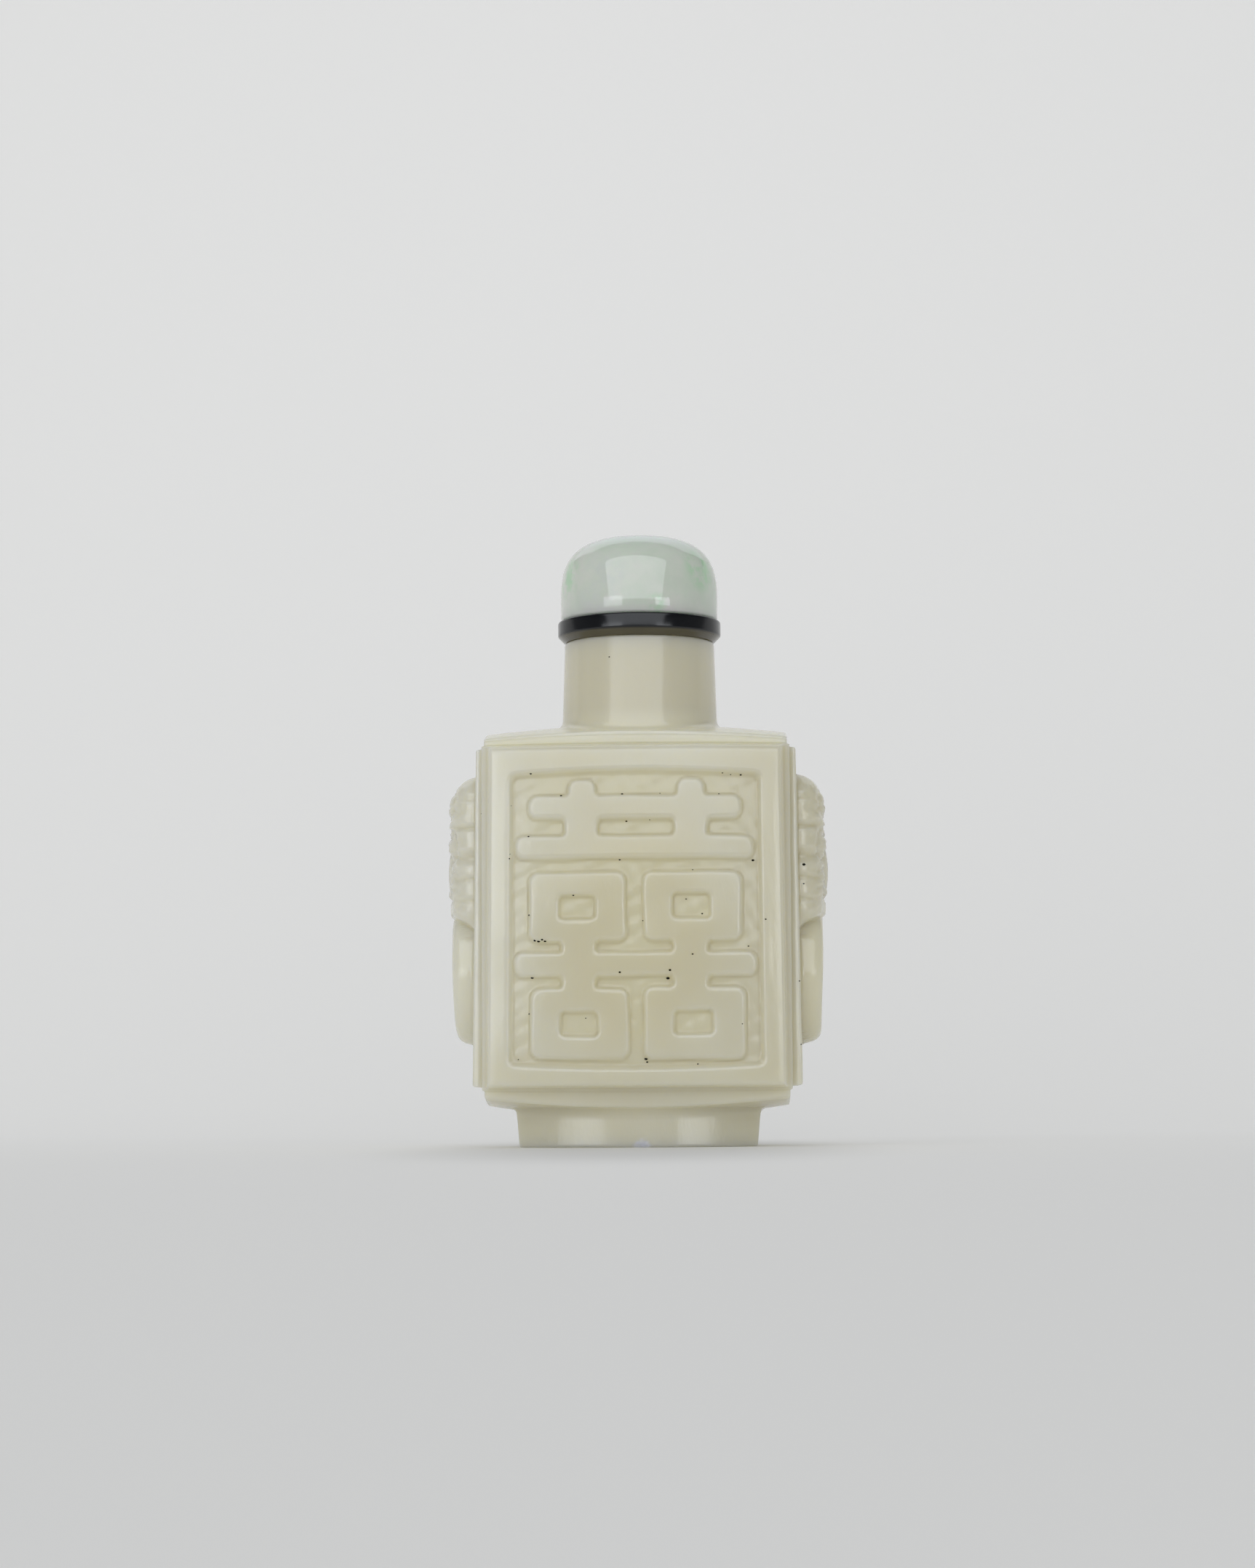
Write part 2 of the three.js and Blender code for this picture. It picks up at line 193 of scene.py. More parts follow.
def away_from(tree, centre, stretch=(1, 1, 1)):
    """Distance from a place on the object, measured larger along the stretched axes."""
    moved = vector_node(tree, "SUBTRACT", object_place(tree), centre)
    scaled = vector_node(tree, "MULTIPLY", moved, stretch)
    length = add_node(tree, "ShaderNodeVectorMath", {0: scaled}, operation="LENGTH")
    return length.outputs["Value"]


def make_stage():
    """Rows run outwards: a flat part, its reach a sine of the way round, then an upward arc."""
    turn = np.linspace(0, 2 * np.pi, STAGE_COLUMNS, endpoint=False)
    flat = (FLAT_AHEAD + FLAT_BEHIND) / 2 - (FLAT_AHEAD - FLAT_BEHIND) / 2 * np.sin(turn)
    rows = [np.stack([share * flat * np.cos(turn), share * flat * np.sin(turn), 0 * turn], axis=1)
            for share in FLAT_SHARES]
    for angle in SWEEP_ANGLES:
        reach = flat + SWEEP_RADIUS * math.sin(angle)
        height = SWEEP_RADIUS * (1 - math.cos(angle)) + 0 * turn
        rows.append(np.stack([reach * np.cos(turn), reach * np.sin(turn), height], axis=1))
    return add_rings("stage", rows, inwards=True, open_end=True)


def make_paper():
    """Matt paper, brighter behind the bottle and shaded close to its foot."""
    material, tree, shader = new_material("stage_paper", PAPER_COLOUR, PAPER_ROUGHNESS)
    glow = spread(tree, away_from(tree, GLOW_CENTRE), GLOW_REACH, (GLOW_NEAR, GLOW_FAR))
    shade = spread(tree, away_from(tree, SHADE_CENTRE, SHADE_STRETCH), SHADE_REACH, (SHADE_LEFT, 1))
    # Far out the paper is painted dark grey: painted shade in place of a dim room
    far = spread(tree, away_from(tree, TONE_CENTRE), TONE_REACH)
    fill(tree, shader, {"Base Color": blend(tree, far, PAPER_COLOUR, DIM_ROOM_SHADE_COLOUR),
                        "Specular IOR Level": MATT_SHEEN, "Emission Strength": 1,
                        "Emission Color": math_node(tree, "MULTIPLY", glow, shade)})
    return material


stage = make_stage()
stage.data.materials.append(make_paper())


# Light
# Large soft key panels above and in front shape the form. Other white panels are seen by the
# polish alone: a broad one in front, a small one low on each side, and one behind for the rims.
# Panels are azimuth and elevation in degrees, width, height and distance in metres, and radiance.
KEY_PANELS = [
    (-34, 34, 1.5, 1.3, 1.1, 0.36),
    (0, 8, 1.5, 1.2, 1.1, 0.54),
    (0, 85, 1.2, 1.2, 1.1, 0.06),
]
SHEEN_PANELS = [
    (-4, 31, 2.1, 1.23, 1.2, 1.6),
    (-37, 2, 0.62, 0.22, 1.2, 1.9),
    (36, 1, 0.46, 0.2, 1.2, 2.4),
    (180, 48, 1.8, 0.9, 1.2, 0.8),
]
SHEEN_COLOUR = (0.96, 1.0, 1.05)
AIM_HEIGHT = 30 * MM
WORLD_COLOUR = (0.96, 0.98, 1.0, 1)
# The surround's strength, and how much less of it the polish shows
WORLD_STRENGTH, WORLD_DIMMED = 0.46, 0.36


def add_panel(name, panel):
    """A rectangular light that faces the middle of the bottle and that the camera doesn't see."""
    azimuth, elevation = math.radians(panel[0]), math.radians(panel[1])
    width, height, distance, radiance = panel[2:]
    data = bpy.data.lights.new(name, "AREA")
    data.shape = "RECTANGLE"
    data.size, data.size_y = width, height
    data.energy = math.pi * width * height * radiance
    light = bpy.data.objects.new(name, data)
    light.visible_camera = False
    bpy.context.collection.objects.link(light)
    flat = math.cos(elevation) * distance
    light.location = (math.sin(azimuth) * flat, -math.cos(azimuth) * flat,
                      math.sin(elevation) * distance + AIM_HEIGHT)
    light.rotation_euler = (math.pi / 2 - elevation, 0, azimuth)
    return light


def make_surround():
    """A pale world all round, dimmer in reflections than in the light it gives."""
    world = bpy.data.worlds.new("surround")
    world.use_nodes = True
    tree = world.node_tree
    glossy = add_node(tree, "ShaderNodeLightPath", {}).outputs["Is Glossy Ray"]
    strength = math_node(tree, "MULTIPLY_ADD", glossy, -WORLD_DIMMED, WORLD_STRENGTH)
    fill(tree, tree.nodes["Background"], {"Color": WORLD_COLOUR, "Strength": strength})
    bpy.context.scene.world = world


def make_light():
    """Key panels leave no reflection, and sheen panels leave nothing else."""
    for number, panel in enumerate(KEY_PANELS):
        key = add_panel(f"key_light_{number}", panel)
        key.visible_glossy = False
    for number, panel in enumerate(SHEEN_PANELS):
        sheen = add_panel(f"sheen_light_{number}", panel)
        sheen.data.color = SHEEN_COLOUR
        sheen.visible_diffuse = False


make_light()
make_surround()


# Bottle
# One piece of pale celadon jade, carved all over and hollowed through its neck, then polished.
# Its surface is one closed grid: columns round the plan, rows from the hollow's floor up the
# bore, over the lip, down the outside and under the foot. Its sizes are in millimetres.
CORE_HALF_WIDTH, CORE_HALF_DEPTH = 16.05, 9.7
CORNER_RADIUS = 0.25
FACE_RADIUS = 70.0
UPRIGHT_BOW = 0.45
PANEL_LOW, PANEL_HIGH = 6.3, 41.4
BODY_MIDDLE = (PANEL_LOW + PANEL_HIGH) / 2
GRINDING, FACE_WAVE, SIDE_WAVE = 0.03, 11.0, 9.0
# How much of a carved wall's rise is straight rather than eased
STRAIGHT_SHARE = 0.65
# Three crossing waves as their rates along two ways and their share of the seed
WAVES = [(1.0, 0.7, 1.0), (0.6, -1.1, 2.3), (-0.35, 0.9, 4.1)]


def smooth(share):
    """An ease from 0 to 1: three squares less two cubes."""
    share = np.clip(share, 0, 1)
    return share * share * (3 - 2 * share)


def slope(share):
    """A straight rise from 0 to 1 with its ends only a little eased, as a carved wall has."""
    return STRAIGHT_SHARE * np.clip(share, 0, 1) + (1 - STRAIGHT_SHARE) * smooth(share)


def arch(distance, reach):
    """1 at no distance, curving down to 0 at reach: one less the square of distance over reach."""
    return 1 - np.clip(np.abs(distance) / reach, 0, 1) ** 2


def hill(distance, reach):
    """1 at no distance, falling smoothly to 0 at reach: the square of the arch."""
    return arch(distance, reach) ** 2


def rounded_off(share, power):
    """1 at no share of the way out, turning down to 0 at the edge: the root of one less a power."""
    return np.sqrt(np.clip(1 - np.clip(share, 0, 1) ** power, 0, 1))


def soft_min(a, b, width):
    """The smaller of two distances, blended where they are closer than width."""
    share = np.clip(0.5 + 0.5 * (b - a) / width, 0, 1)
    return b + (a - b) * share - width * share * (1 - share)


def wobble(a, b, seed, wave):
    """Slow unevenness between about -1 and 1: the mean of three crossing sines."""
    p, q = a * 2 * np.pi / wave, b * 2 * np.pi / wave
    sines = [np.sin(along * p + beside * q + shift * seed) for along, beside, shift in WAVES]
    return sum(sines) / len(WAVES)


def step_up(inside, height, radius, foot):
    """Height of a raised panel by the distance inside its edge: a wall, then a quarter round."""
    brow = height - radius + np.sqrt(radius ** 2 - (radius - np.clip(inside, 0, radius)) ** 2)
    wall = (height - radius) * np.clip(1 + inside / foot, 0, 1)
    return np.where(inside < 0, wall, brow)


def face_drop(x):
    """How far the bowed front or back falls away at this place across: a circle's arc."""
    return FACE_RADIUS - np.sqrt(FACE_RADIUS ** 2 - x ** 2)


def face_depth(x, z, carved):
    """Depth of the core's front or back: an arc across, less an upright bow that fades sideways."""
    up = (z - BODY_MIDDLE) / (PANEL_HIGH - BODY_MIDDLE)
    bow = UPRIGHT_BOW * up ** 2 * arch(x, CORE_HALF_WIDTH)
    uneven = GRINDING * wobble(x, z, seed=5 + carved, wave=FACE_WAVE)
    return CORE_HALF_DEPTH - face_drop(x) - bow + uneven


# The emblem's strokes as left, right, low and high edges, and the holes in its four boxes
STROKES = [
    (-12.3, 12.1, 29.9, 31.95), (-12.35, 12.3, 17.75, 19.9), (-10.95, 10.85, 34.0, 36.1),
    (-6.75, -4.25, 33.0, 37.75), (4.6, 7.05, 33.0, 37.85),
    (-7.15, -4.0, 31.0, 35.0), (4.2, 7.25, 31.0, 35.0),
    (-10.85, -1.15, 21.35, 28.15), (1.0, 10.8, 21.4, 28.2),
    (-7.45, -4.3, 15.5, 22.5), (4.05, 7.25, 15.5, 22.5),
    (-10.65, -0.9, 9.25, 16.2), (1.0, 11.05, 9.2, 16.3),
]
HOLES = [
    (-8.05, -3.95, 23.3, 26.1), (3.65, 7.85, 23.35, 26.3),
    (-7.9, -3.75, 11.3, 14.1), (3.7, 8.1, 11.45, 14.2),
]
STROKE_CORNER, STROKE_FILLET = 0.85, 0.55
HOLE_CORNER, HOLE_FILLET = 0.7, 0.15
# The walls' width, and the share of it by which they start inside the stroke's edge
STROKE_WALL, WALL_LEAD = 0.36, 0.08
STROKE_TREMBLE, WAVE_ACROSS, WAVE_UP = 0.07, 9.0, 8.0
RELIEF_HEIGHT = 0.44


def box_distance(x, z, box, corner):
    """Signed distance to a rounded rectangle, negative inside."""
    left, right, low, high = box
    across = np.abs(x - (left + right) / 2) - (right - left) / 2 + corner
    up = np.abs(z - (low + high) / 2) - (high - low) / 2 + corner
    outside = np.hypot(np.maximum(across, 0), np.maximum(up, 0))
    return outside + np.minimum(np.maximum(across, up), 0) - corner


def emblem_distance(x, z):
    """Signed distance to the strokes, joined by soft minima, with a slight tremble of the hand."""
    x = x + STROKE_TREMBLE * wobble(x, z, seed=1, wave=WAVE_ACROSS)
    z = z + STROKE_TREMBLE * wobble(z, x, seed=2, wave=WAVE_UP)
    shape = box_distance(x, z, STROKES[0], STROKE_CORNER)
    for stroke in STROKES[1:]:
        shape = soft_min(shape, box_distance(x, z, stroke, STROKE_CORNER), STROKE_FILLET)
    for hole in HOLES:
        shape = -soft_min(-shape, box_distance(x, z, hole, HOLE_CORNER), HOLE_FILLET)
    return shape


def emblem_height(x, z):
    """The strokes are flat on top with walls that slope by the distance outside them."""
    return RELIEF_HEIGHT * (1 - slope(emblem_distance(x, z) / STROKE_WALL + WALL_LEAD))


# The raised panel on the front and back, with its sunken field
PANEL_EDGE = 15.25
PANEL_HALF_LOW, PANEL_TAPER = 15.4, 0.3
PANEL_PROUD = 1.1
PANEL_BROW, PANEL_WALL = 0.35, 0.3
BEVEL_WIDTH, BEVEL_DEPTH = 0.55, 0.2
RECESS_EDGE = 13.25
RECESS_LOW, RECESS_HIGH = 8.3, 38.75
RECESS_BOW, RECESS_CORNER, RECESS_BLEND = 0.45, 0.8, 0.1
RECESS_DEPTH, RECESS_WALL = 0.52, 0.58
# How far inside the field the strokes begin to show, and over what distance
EMBLEM_START, EMBLEM_FADE = 0.2, 0.4
GROUND_UNEVEN, GROUND_WAVE = 0.035, 1.9


def recess_bow(a):
    """How far the field's upper and lower edges bow outwards at this place across: an arch."""
    return RECESS_BOW * arch(a, RECESS_EDGE)


def recess_inside(a, z):
    """Distance inside the field's outline: the softened least distance to its four edges."""
    low, high = RECESS_LOW - recess_bow(a), RECESS_HIGH + recess_bow(a)
    up = soft_min(z - low, high - z, RECESS_BLEND)
    return soft_min(RECESS_EDGE - np.abs(a), up, RECESS_CORNER)


def front_relief(a, z, carved):
    """How far the front, or the plainer back, stands out: panel, less field, plus emblem."""
    edge = np.minimum(PANEL_EDGE - np.abs(a), np.minimum(z - PANEL_LOW, PANEL_HIGH - z))
    bevel = BEVEL_DEPTH * np.clip(1 - (PANEL_HIGH - z) / BEVEL_WIDTH, 0, 1)
    inside = recess_inside(a, z)
    sunk = slope(inside / RECESS_WALL)
    emblem = emblem_height(a, z) * smooth((inside - EMBLEM_START) / EMBLEM_FADE) * carved
    bare = sunk * (1 - emblem / RELIEF_HEIGHT)
    uneven = GROUND_UNEVEN * wobble(a, z, seed=3, wave=GROUND_WAVE) * bare
    panel = step_up(edge, PANEL_PROUD, PANEL_BROW, PANEL_WALL) - bevel * (edge > 0)
    return panel - (RECESS_DEPTH * sunk + uneven) + emblem


# The handles: an animal mask over a fixed ring, on both side panels
SIDE_PANEL_EDGE = 6.99
SIDE_PROUD_LOW, SIDE_PROUD_HIGH = 1.05, 0.65
SIDE_BROW, SIDE_WALL = 0.3, 0.06
MASK_LOW, MASK_HIGH, JAW, CHIN = 22.3, 38.95, 24.4, 23.9
MASK_PROUD, MASK_HALF_WIDTH = 2.75, 6.1
FLANK_POWER, CROWN_POWER = 4, 3.0
CROWN_START, CROWN_EDGE = 35.0, 35.6
CROWN_CUT, CROWN_BEND = 0.42, 2.2
JAW_CUT, JAW_TOP, JAW_REACH = 0.5, 24.8, 2.2
JAW_LEAN, JAW_LEAN_REACH = 0.05, 3
# Cuts across the mask's edge as height, depth and half width
MASK_CUTS = [(33.3, 0.35, 0.45), (30.2, 0.6, 1.0), (27.95, 0.3, 0.4), (25.7, 0.25, 0.35),
             (36.4, 0.18, 0.5)]
RING_LOW, RING_HIGH = 10.7, 25.2
RING_RADIUS = (RING_HIGH - RING_LOW) / 2
RING_HALF_WIDTH, RING_THICKNESS = 5.9, 1.45
RING_PROUD_LOW, RING_PROUD_HIGH = 2.1, 2.62
RING_POWER, RING_HIDDEN = 2.6, 1.3
RING_OUTLINE_END = 0.82
RING_FIELD, RING_FIELD_EDGE = 0.5, 0.3
# How far below the mask its outline turns into the ring's, and over what height
JOIN_BELOW, JOIN_HEIGHT = 0.9, 1.2


def mask_half_width(z):
    """The mask's edge: a rounded crown over a straight flank with a few cuts across it."""
    crown = np.clip((z - CROWN_EDGE) / (MASK_HIGH - CROWN_EDGE), 0, 1)
    width = MASK_HALF_WIDTH * (1 - CROWN_CUT * crown ** CROWN_BEND)
    width = width - JAW_CUT * smooth((JAW_TOP - z) / JAW_REACH)
    for height, depth, reach in MASK_CUTS:
        width = width - depth * hill(z - height, reach)
    return width


def ring_half_width(z):
    """The ring's outer edge, an ellipse."""
    off = np.clip(np.abs(z - RING_LOW - RING_RADIUS) / RING_RADIUS, 0, RING_OUTLINE_END)
    return RING_HALF_WIDTH * np.sqrt(1 - off ** 2)


def handle_half_width(z):
    """The handle's outline, which the grid's columns follow."""
    share = smooth((z - MASK_LOW + JOIN_BELOW) / JOIN_HEIGHT)
    mask = mask_half_width(np.clip(z, MASK_LOW, MASK_HIGH))
    return mask * share + ring_half_width(z) * (1 - share)


# The mask's round features as place across, place up from the chin, reach and height
NOSTRIL, SNOUT = (1.15, 2.6, 1.1, 0.4), (0, 1.0, 2.8, 0.35)
CHEEK, HORN = (3.9, 3.6, 1.7, 0.35), (2.9, 11.6, 2.5, 0.4)
PUPIL = (2.4, 7.6, 0.4, 0.3)
NOSE_HALF_WIDTH, NOSE_UP, NOSE_REACH, NOSE_HEIGHT = 1.2, 5.0, 4.5, 0.5
EYE_ACROSS, EYE_UP, EYE_SQUEEZE, EYE_REACH, EYE_HEIGHT = 2.5, 7.6, 0.85, 1.35, 0.45
SOCKET_RADIUS, SOCKET_REACH, SOCKET_DEPTH = 1.75, 0.45, 0.3
BROW_UP, BROW_SLANT, BROW_REACH, BROW_GAP, BROW_HEIGHT = 9.4, 0.35, 0.75, 0.6, 0.4
# Its curls as place across, place up and size, and how many sizes out they reach
CURLS = [(2.9, 11.6, 1.35), (4.0, 3.6, 1.1)]
CURL_SIZES, CURL_FADE, CURL_DEPTH = 1.5, 0.4, 0.22
MOUTH_UP, MOUTH_BEND, MOUTH_REACH = 1.9, 0.12, 0.35
MOUTH_END, MOUTH_FADE, MOUTH_DEPTH = 4.6, 0.6, 0.25
# Rows of slanting cuts as rates up and across, half width, start across, fade and depth
STRANDS, NICKS = (0.85, 0.45, 0.28, 3.6, 0.9, 0.16), (0.6, 0.15, 0.16, 1.4, 0.5, 0.12)


def feature(y, up, place):
    """A round hill on the mask."""
    across, level, reach, height = place
    return height * hill(np.hypot(y - across, up - level), reach)


def mask_features(y, up):
    """The raised and sunken features: the highest of several hills, less pupils and eye sockets."""
    nose = NOSE_HEIGHT * hill(y, NOSE_HALF_WIDTH) * hill(up - NOSE_UP, NOSE_REACH)
    off_eye = np.hypot((y - EYE_ACROSS) * EYE_SQUEEZE, up - EYE_UP)
    eye = EYE_HEIGHT * hill(off_eye, EYE_REACH)
    brow = BROW_HEIGHT * hill(up - BROW_UP - BROW_SLANT * (y - EYE_ACROSS), BROW_REACH)
    hills = [feature(y, up, place) for place in (NOSTRIL, SNOUT, CHEEK, HORN)]
    socket = SOCKET_DEPTH * hill(off_eye - SOCKET_RADIUS, SOCKET_REACH)
    highest = np.maximum.reduce([nose, eye, brow * smooth(y / BROW_GAP)] + hills)
    return highest - feature(y, up, PUPIL) - socket


def curl(y, up, place):
    """A groove that winds in to its middle: a cosine of radius less angle."""
    across, level, size = place
    radius = np.hypot(y - across, up - level)
    phase = radius / size * 2 * np.pi - np.arctan2(up - level, y - across)
    return (0.5 + 0.5 * np.cos(phase)) ** 2 * smooth((size * CURL_SIZES - radius) / CURL_FADE)


def cuts(y, up, kind):
    """Evenly spaced slanting cuts: hills over the remainder of a slanting distance."""
    rate_up, rate_across, reach, start, fade, depth = kind
    row = hill((up * rate_up + y * rate_across) % 1.0 - 0.5, reach)
    return depth * (row * smooth((y - start) / fade))


def mask_lines(y, up):
    """Depth of the incised lines: curls, mouth, slanting strands and nicks at the edge."""
    curls = CURL_DEPTH * sum(curl(y, up, place) for place in CURLS)
    mouth = hill(up - MOUTH_UP - MOUTH_BEND * y * y, MOUTH_REACH)
    mouth = MOUTH_DEPTH * (mouth * smooth((MOUTH_END - y) / MOUTH_FADE))
    return curls + mouth + cuts(y, up, STRANDS) + cuts(y, up, NICKS)


def mask_proud(across, y, z):
    """How far the mask stands out of the side panel: a rounded block with its features on it."""
    rounded = rounded_off(np.abs(across), FLANK_POWER)
    crown = rounded_off((z - CROWN_START) / (MASK_HIGH - CROWN_START), CROWN_POWER)
    jaw = smooth((z - MASK_LOW) / (JAW - MASK_LOW))
    lean = 1 - JAW_LEAN * smooth((JAW + JAW_LEAN_REACH - z) / JAW_LEAN_REACH)
    face = mask_features(np.abs(y), z - CHIN) - mask_lines(np.abs(y), z - CHIN)
    return (MASK_PROUD + face) * rounded * crown * jaw * lean * (z < MASK_HIGH)


def ring_proud(y, z):
    """The fixed ring: a round bar bent to an oval, leaning in at its foot, over a low field."""
    off_centre = np.hypot(y * RING_RADIUS / RING_HALF_WIDTH, z - RING_LOW - RING_RADIUS)
    share = np.clip((z - RING_LOW) / (RING_HIGH - RING_LOW), 0, 1)
    proud = RING_PROUD_LOW + (RING_PROUD_HIGH - RING_PROUD_LOW) * share
    off_bar = (off_centre - RING_RADIUS + RING_THICKNESS) / RING_THICKNESS
    bar = proud * rounded_off(np.abs(off_bar), RING_POWER)
    within = (RING_RADIUS - RING_THICKNESS - off_centre) / RING_FIELD_EDGE
    return np.maximum(bar, RING_FIELD * smooth(within + 1)) * (z < RING_HIGH - RING_HIDDEN)


def side_relief(across, y, z):
    """How far the side panel and its handle stand out of the core."""
    share = np.clip((z - PANEL_LOW) / (PANEL_HIGH - PANEL_LOW), 0, 1)
    proud = SIDE_PROUD_LOW + (SIDE_PROUD_HIGH - SIDE_PROUD_LOW) * share
    edge = np.minimum(SIDE_PANEL_EDGE - np.abs(y), np.minimum(z - PANEL_LOW, PANEL_HIGH - z))
    handle = np.maximum(mask_proud(across, y, z), ring_proud(y, z))
    return step_up(edge, 1.0, SIDE_BROW, SIDE_WALL) * proud + handle * (np.abs(across) < 1.0)


# The grid's columns: places across the front, the back, the corners and along the sides
EDGE_STEPS = np.array([-0.06, 0.0, 0.04, 0.11, 0.22, 0.35])
CORE_EDGE = CORE_HALF_WIDTH - CORNER_RADIUS
OUTER_PLACES = np.concatenate([
    [12.6, 12.75, 12.9, 13.05, 13.2, 13.4, 13.7, 14.3], PANEL_EDGE - EDGE_STEPS[::-1],
    [15.5, CORE_EDGE]])
CORNER_TURNS = np.radians([22.5, 45, 67.5])
SIDE_INNER = np.sin(np.linspace(-1, 1, 43) * np.pi / 2)
HALF_SIDE = CORE_HALF_DEPTH - face_drop(CORE_HALF_WIDTH) - CORNER_RADIUS
# A place across that lies beside the handle, where its own edges are at -1 and 1
BESIDE_HANDLE = 2.0
# How near to the field's upper and lower edges the rows bow with them
BOW_REACH_HIGH, BOW_REACH_LOW = 2.6, 1.9


def mirrored(inner, outer):
    """Places from one end to the other, from those in the middle and those of one outer part."""
    return np.concatenate([-outer[::-1], inner, outer])


FRONT_PLACES = mirrored(np.linspace(-12.42, 12.42, 139), OUTER_PLACES)
BACK_PLACES = mirrored(np.linspace(-11.9, 11.9, 22), OUTER_PLACES)[::-1]


def side_places(level):
    """Places along a side from front to back, and how far each is across the handle there."""
    half = float(handle_half_width(np.array(level)))
    edge = SIDE_PANEL_EDGE - EDGE_STEPS[:0:-1]
    outer = np.concatenate([[(half + edge[0]) / 2], edge, [SIDE_PANEL_EDGE + 0.06, HALF_SIDE]])
    beside = np.full(len(outer), BESIDE_HANDLE)
    return mirrored(SIDE_INNER * half, outer), mirrored(SIDE_INNER, beside)


def face_part(places, level, inset, relief, carved):
    """A row's part across a face as x, depth and z; it bows with the field's edges near them."""
    near = arch(level - RECESS_HIGH, BOW_REACH_HIGH) - arch(level - RECESS_LOW, BOW_REACH_LOW)
    z = level + recess_bow(places) * near * relief
    panel_half = PANEL_HALF_LOW - PANEL_TAPER * (level - PANEL_LOW) / (PANEL_HIGH - PANEL_LOW)
    stops, wide = [0, PANEL_EDGE, CORE_EDGE], [0, panel_half, CORE_EDGE - inset]
    x = np.sign(places) * np.interp(np.abs(places), stops, wide)
    return x, face_depth(x, z, carved) - inset + front_relief(places, z, carved) * relief, z


def corner_loss(inset):
    """How much less deep the corners are where the core is inset."""
    return inset + face_drop(CORE_HALF_WIDTH - inset) - face_drop(CORE_HALF_WIDTH)


def corner_part(level, inset):
    """A row's part round a corner, from face to side: a small quarter circle."""
    x = CORE_HALF_WIDTH - inset - CORNER_RADIUS * (1 - np.sin(CORNER_TURNS))
    depth = HALF_SIDE - corner_loss(inset) + CORNER_RADIUS * np.cos(CORNER_TURNS)
    return x, depth, level + 0 * x


def side_part(level, inset, relief, seed):
    """A row's part along a side, with its panel and handle."""
    places, across = side_places(level)
    z = level + 0 * places
    out = CORE_HALF_WIDTH - inset + GRINDING * wobble(places, z, seed, SIDE_WAVE)
    out = out + side_relief(across, places, z) * relief
    return out, places * (1 - corner_loss(inset) / HALF_SIDE), z


def placed(part, sign_x, sign_y):
    """A row's part as points, turned to its own quarter of the plan."""
    x, depth, z = part
    return np.stack([sign_x * x, sign_y * depth, z], axis=1)


def body_row(level, inset=0.0, relief=1):
    """A row round the body, anticlockwise from the front's left end."""
    corner = corner_part(level, inset)
    return np.concatenate([
        placed(face_part(FRONT_PLACES, level, inset, relief, 1), 1, -1), placed(corner, 1, -1),
        placed(side_part(level, inset, relief, seed=8), 1, 1), placed(corner, 1, 1)[::-1],
        placed(face_part(BACK_PLACES, level, inset, relief, 0), 1, 1), placed(corner, -1, 1),
        placed(side_part(level, inset, relief, seed=6), -1, -1), placed(corner, -1, -1)[::-1]])


# The hollow, bore, lip and neck, given as radius and level, or as radius and drop from the lip
HOLLOW_HALF_WIDTH, HOLLOW_HALF_DEPTH, HOLLOW_POWER = 12.95, 6.95, 3.6
HOLLOW_MIDDLE, HOLLOW_HALF_HEIGHT = 24.03, 17.02
HOLLOW_LIFTS = np.radians(np.linspace(-86, 72, 13))
LIP = 53.3
BORE = [(3.9, 41.1), (3.7, 41.6), (3.7, 47), (3.7, 52.8), (3.8, 53.2), (4.0, LIP)]
LIP_ROUND = [(7.3, 0), (7.62, 0), (7.8, 0.06), (7.91, 0.17), (7.955, 0.35), (7.955, 0.7)]
NECK_SHIFT = 0.3
NECK_HIGH, NECK_LOW = 52.6, 45.0
NECK_SHARES = np.linspace(0.1, 0.95, 9)
NECK_RADIUS, NECK_SPREAD = 7.955, 0.235
# The fillet at its root as radius and height over the shoulder
NECK_FILLET = [(8.2, 0.75), (8.24, 0.5), (8.33, 0.3), (8.5, 0.12), (8.75, 0.0)]
SHOULDER_TOP, SHOULDER_FALL_SIDE, SHOULDER_FALL_FRONT = 44.45, 0.97, 1.66


def moved(points, levels):
    """The same places in plan at other levels."""
    return np.column_stack([points[:, :2], levels + 0 * points[:, 0]])


def circle(angle, radius, level):
    """A row round the neck's own axis."""
    x = NECK_SHIFT + radius * np.cos(angle)
    return np.column_stack([x, radius * np.sin(angle), level + 0 * angle])


def hollow_rows(angle):
    """A superellipsoid from its floor up to the bore, then the bore's circles up to the lip."""
    across, deep = np.cos(angle) / HOLLOW_HALF_WIDTH, np.sin(angle) / HOLLOW_HALF_DEPTH
    total = np.abs(across) ** HOLLOW_POWER + np.abs(deep) ** HOLLOW_POWER
    plan = total ** (-1 / HOLLOW_POWER)
    rows = []
    for lift in HOLLOW_LIFTS:
        radius = plan * math.cos(lift) ** (2 / HOLLOW_POWER)
        rise = math.copysign(abs(math.sin(lift)) ** (2 / HOLLOW_POWER), lift)
        flat = np.column_stack([radius * np.cos(angle), radius * np.sin(angle)])
        rows.append(moved(flat, HOLLOW_MIDDLE + HOLLOW_HALF_HEIGHT * rise))
    return rows + [circle(angle, radius, level) for radius, level in BORE]


def shoulder_height(points):
    """The shoulder falls away to the sides and still more to the front: two parabolas."""
    side = SHOULDER_FALL_SIDE * (points[:, 0] / CORE_HALF_WIDTH) ** 2
    return SHOULDER_TOP - side - SHOULDER_FALL_FRONT * (points[:, 1] / CORE_HALF_DEPTH) ** 2


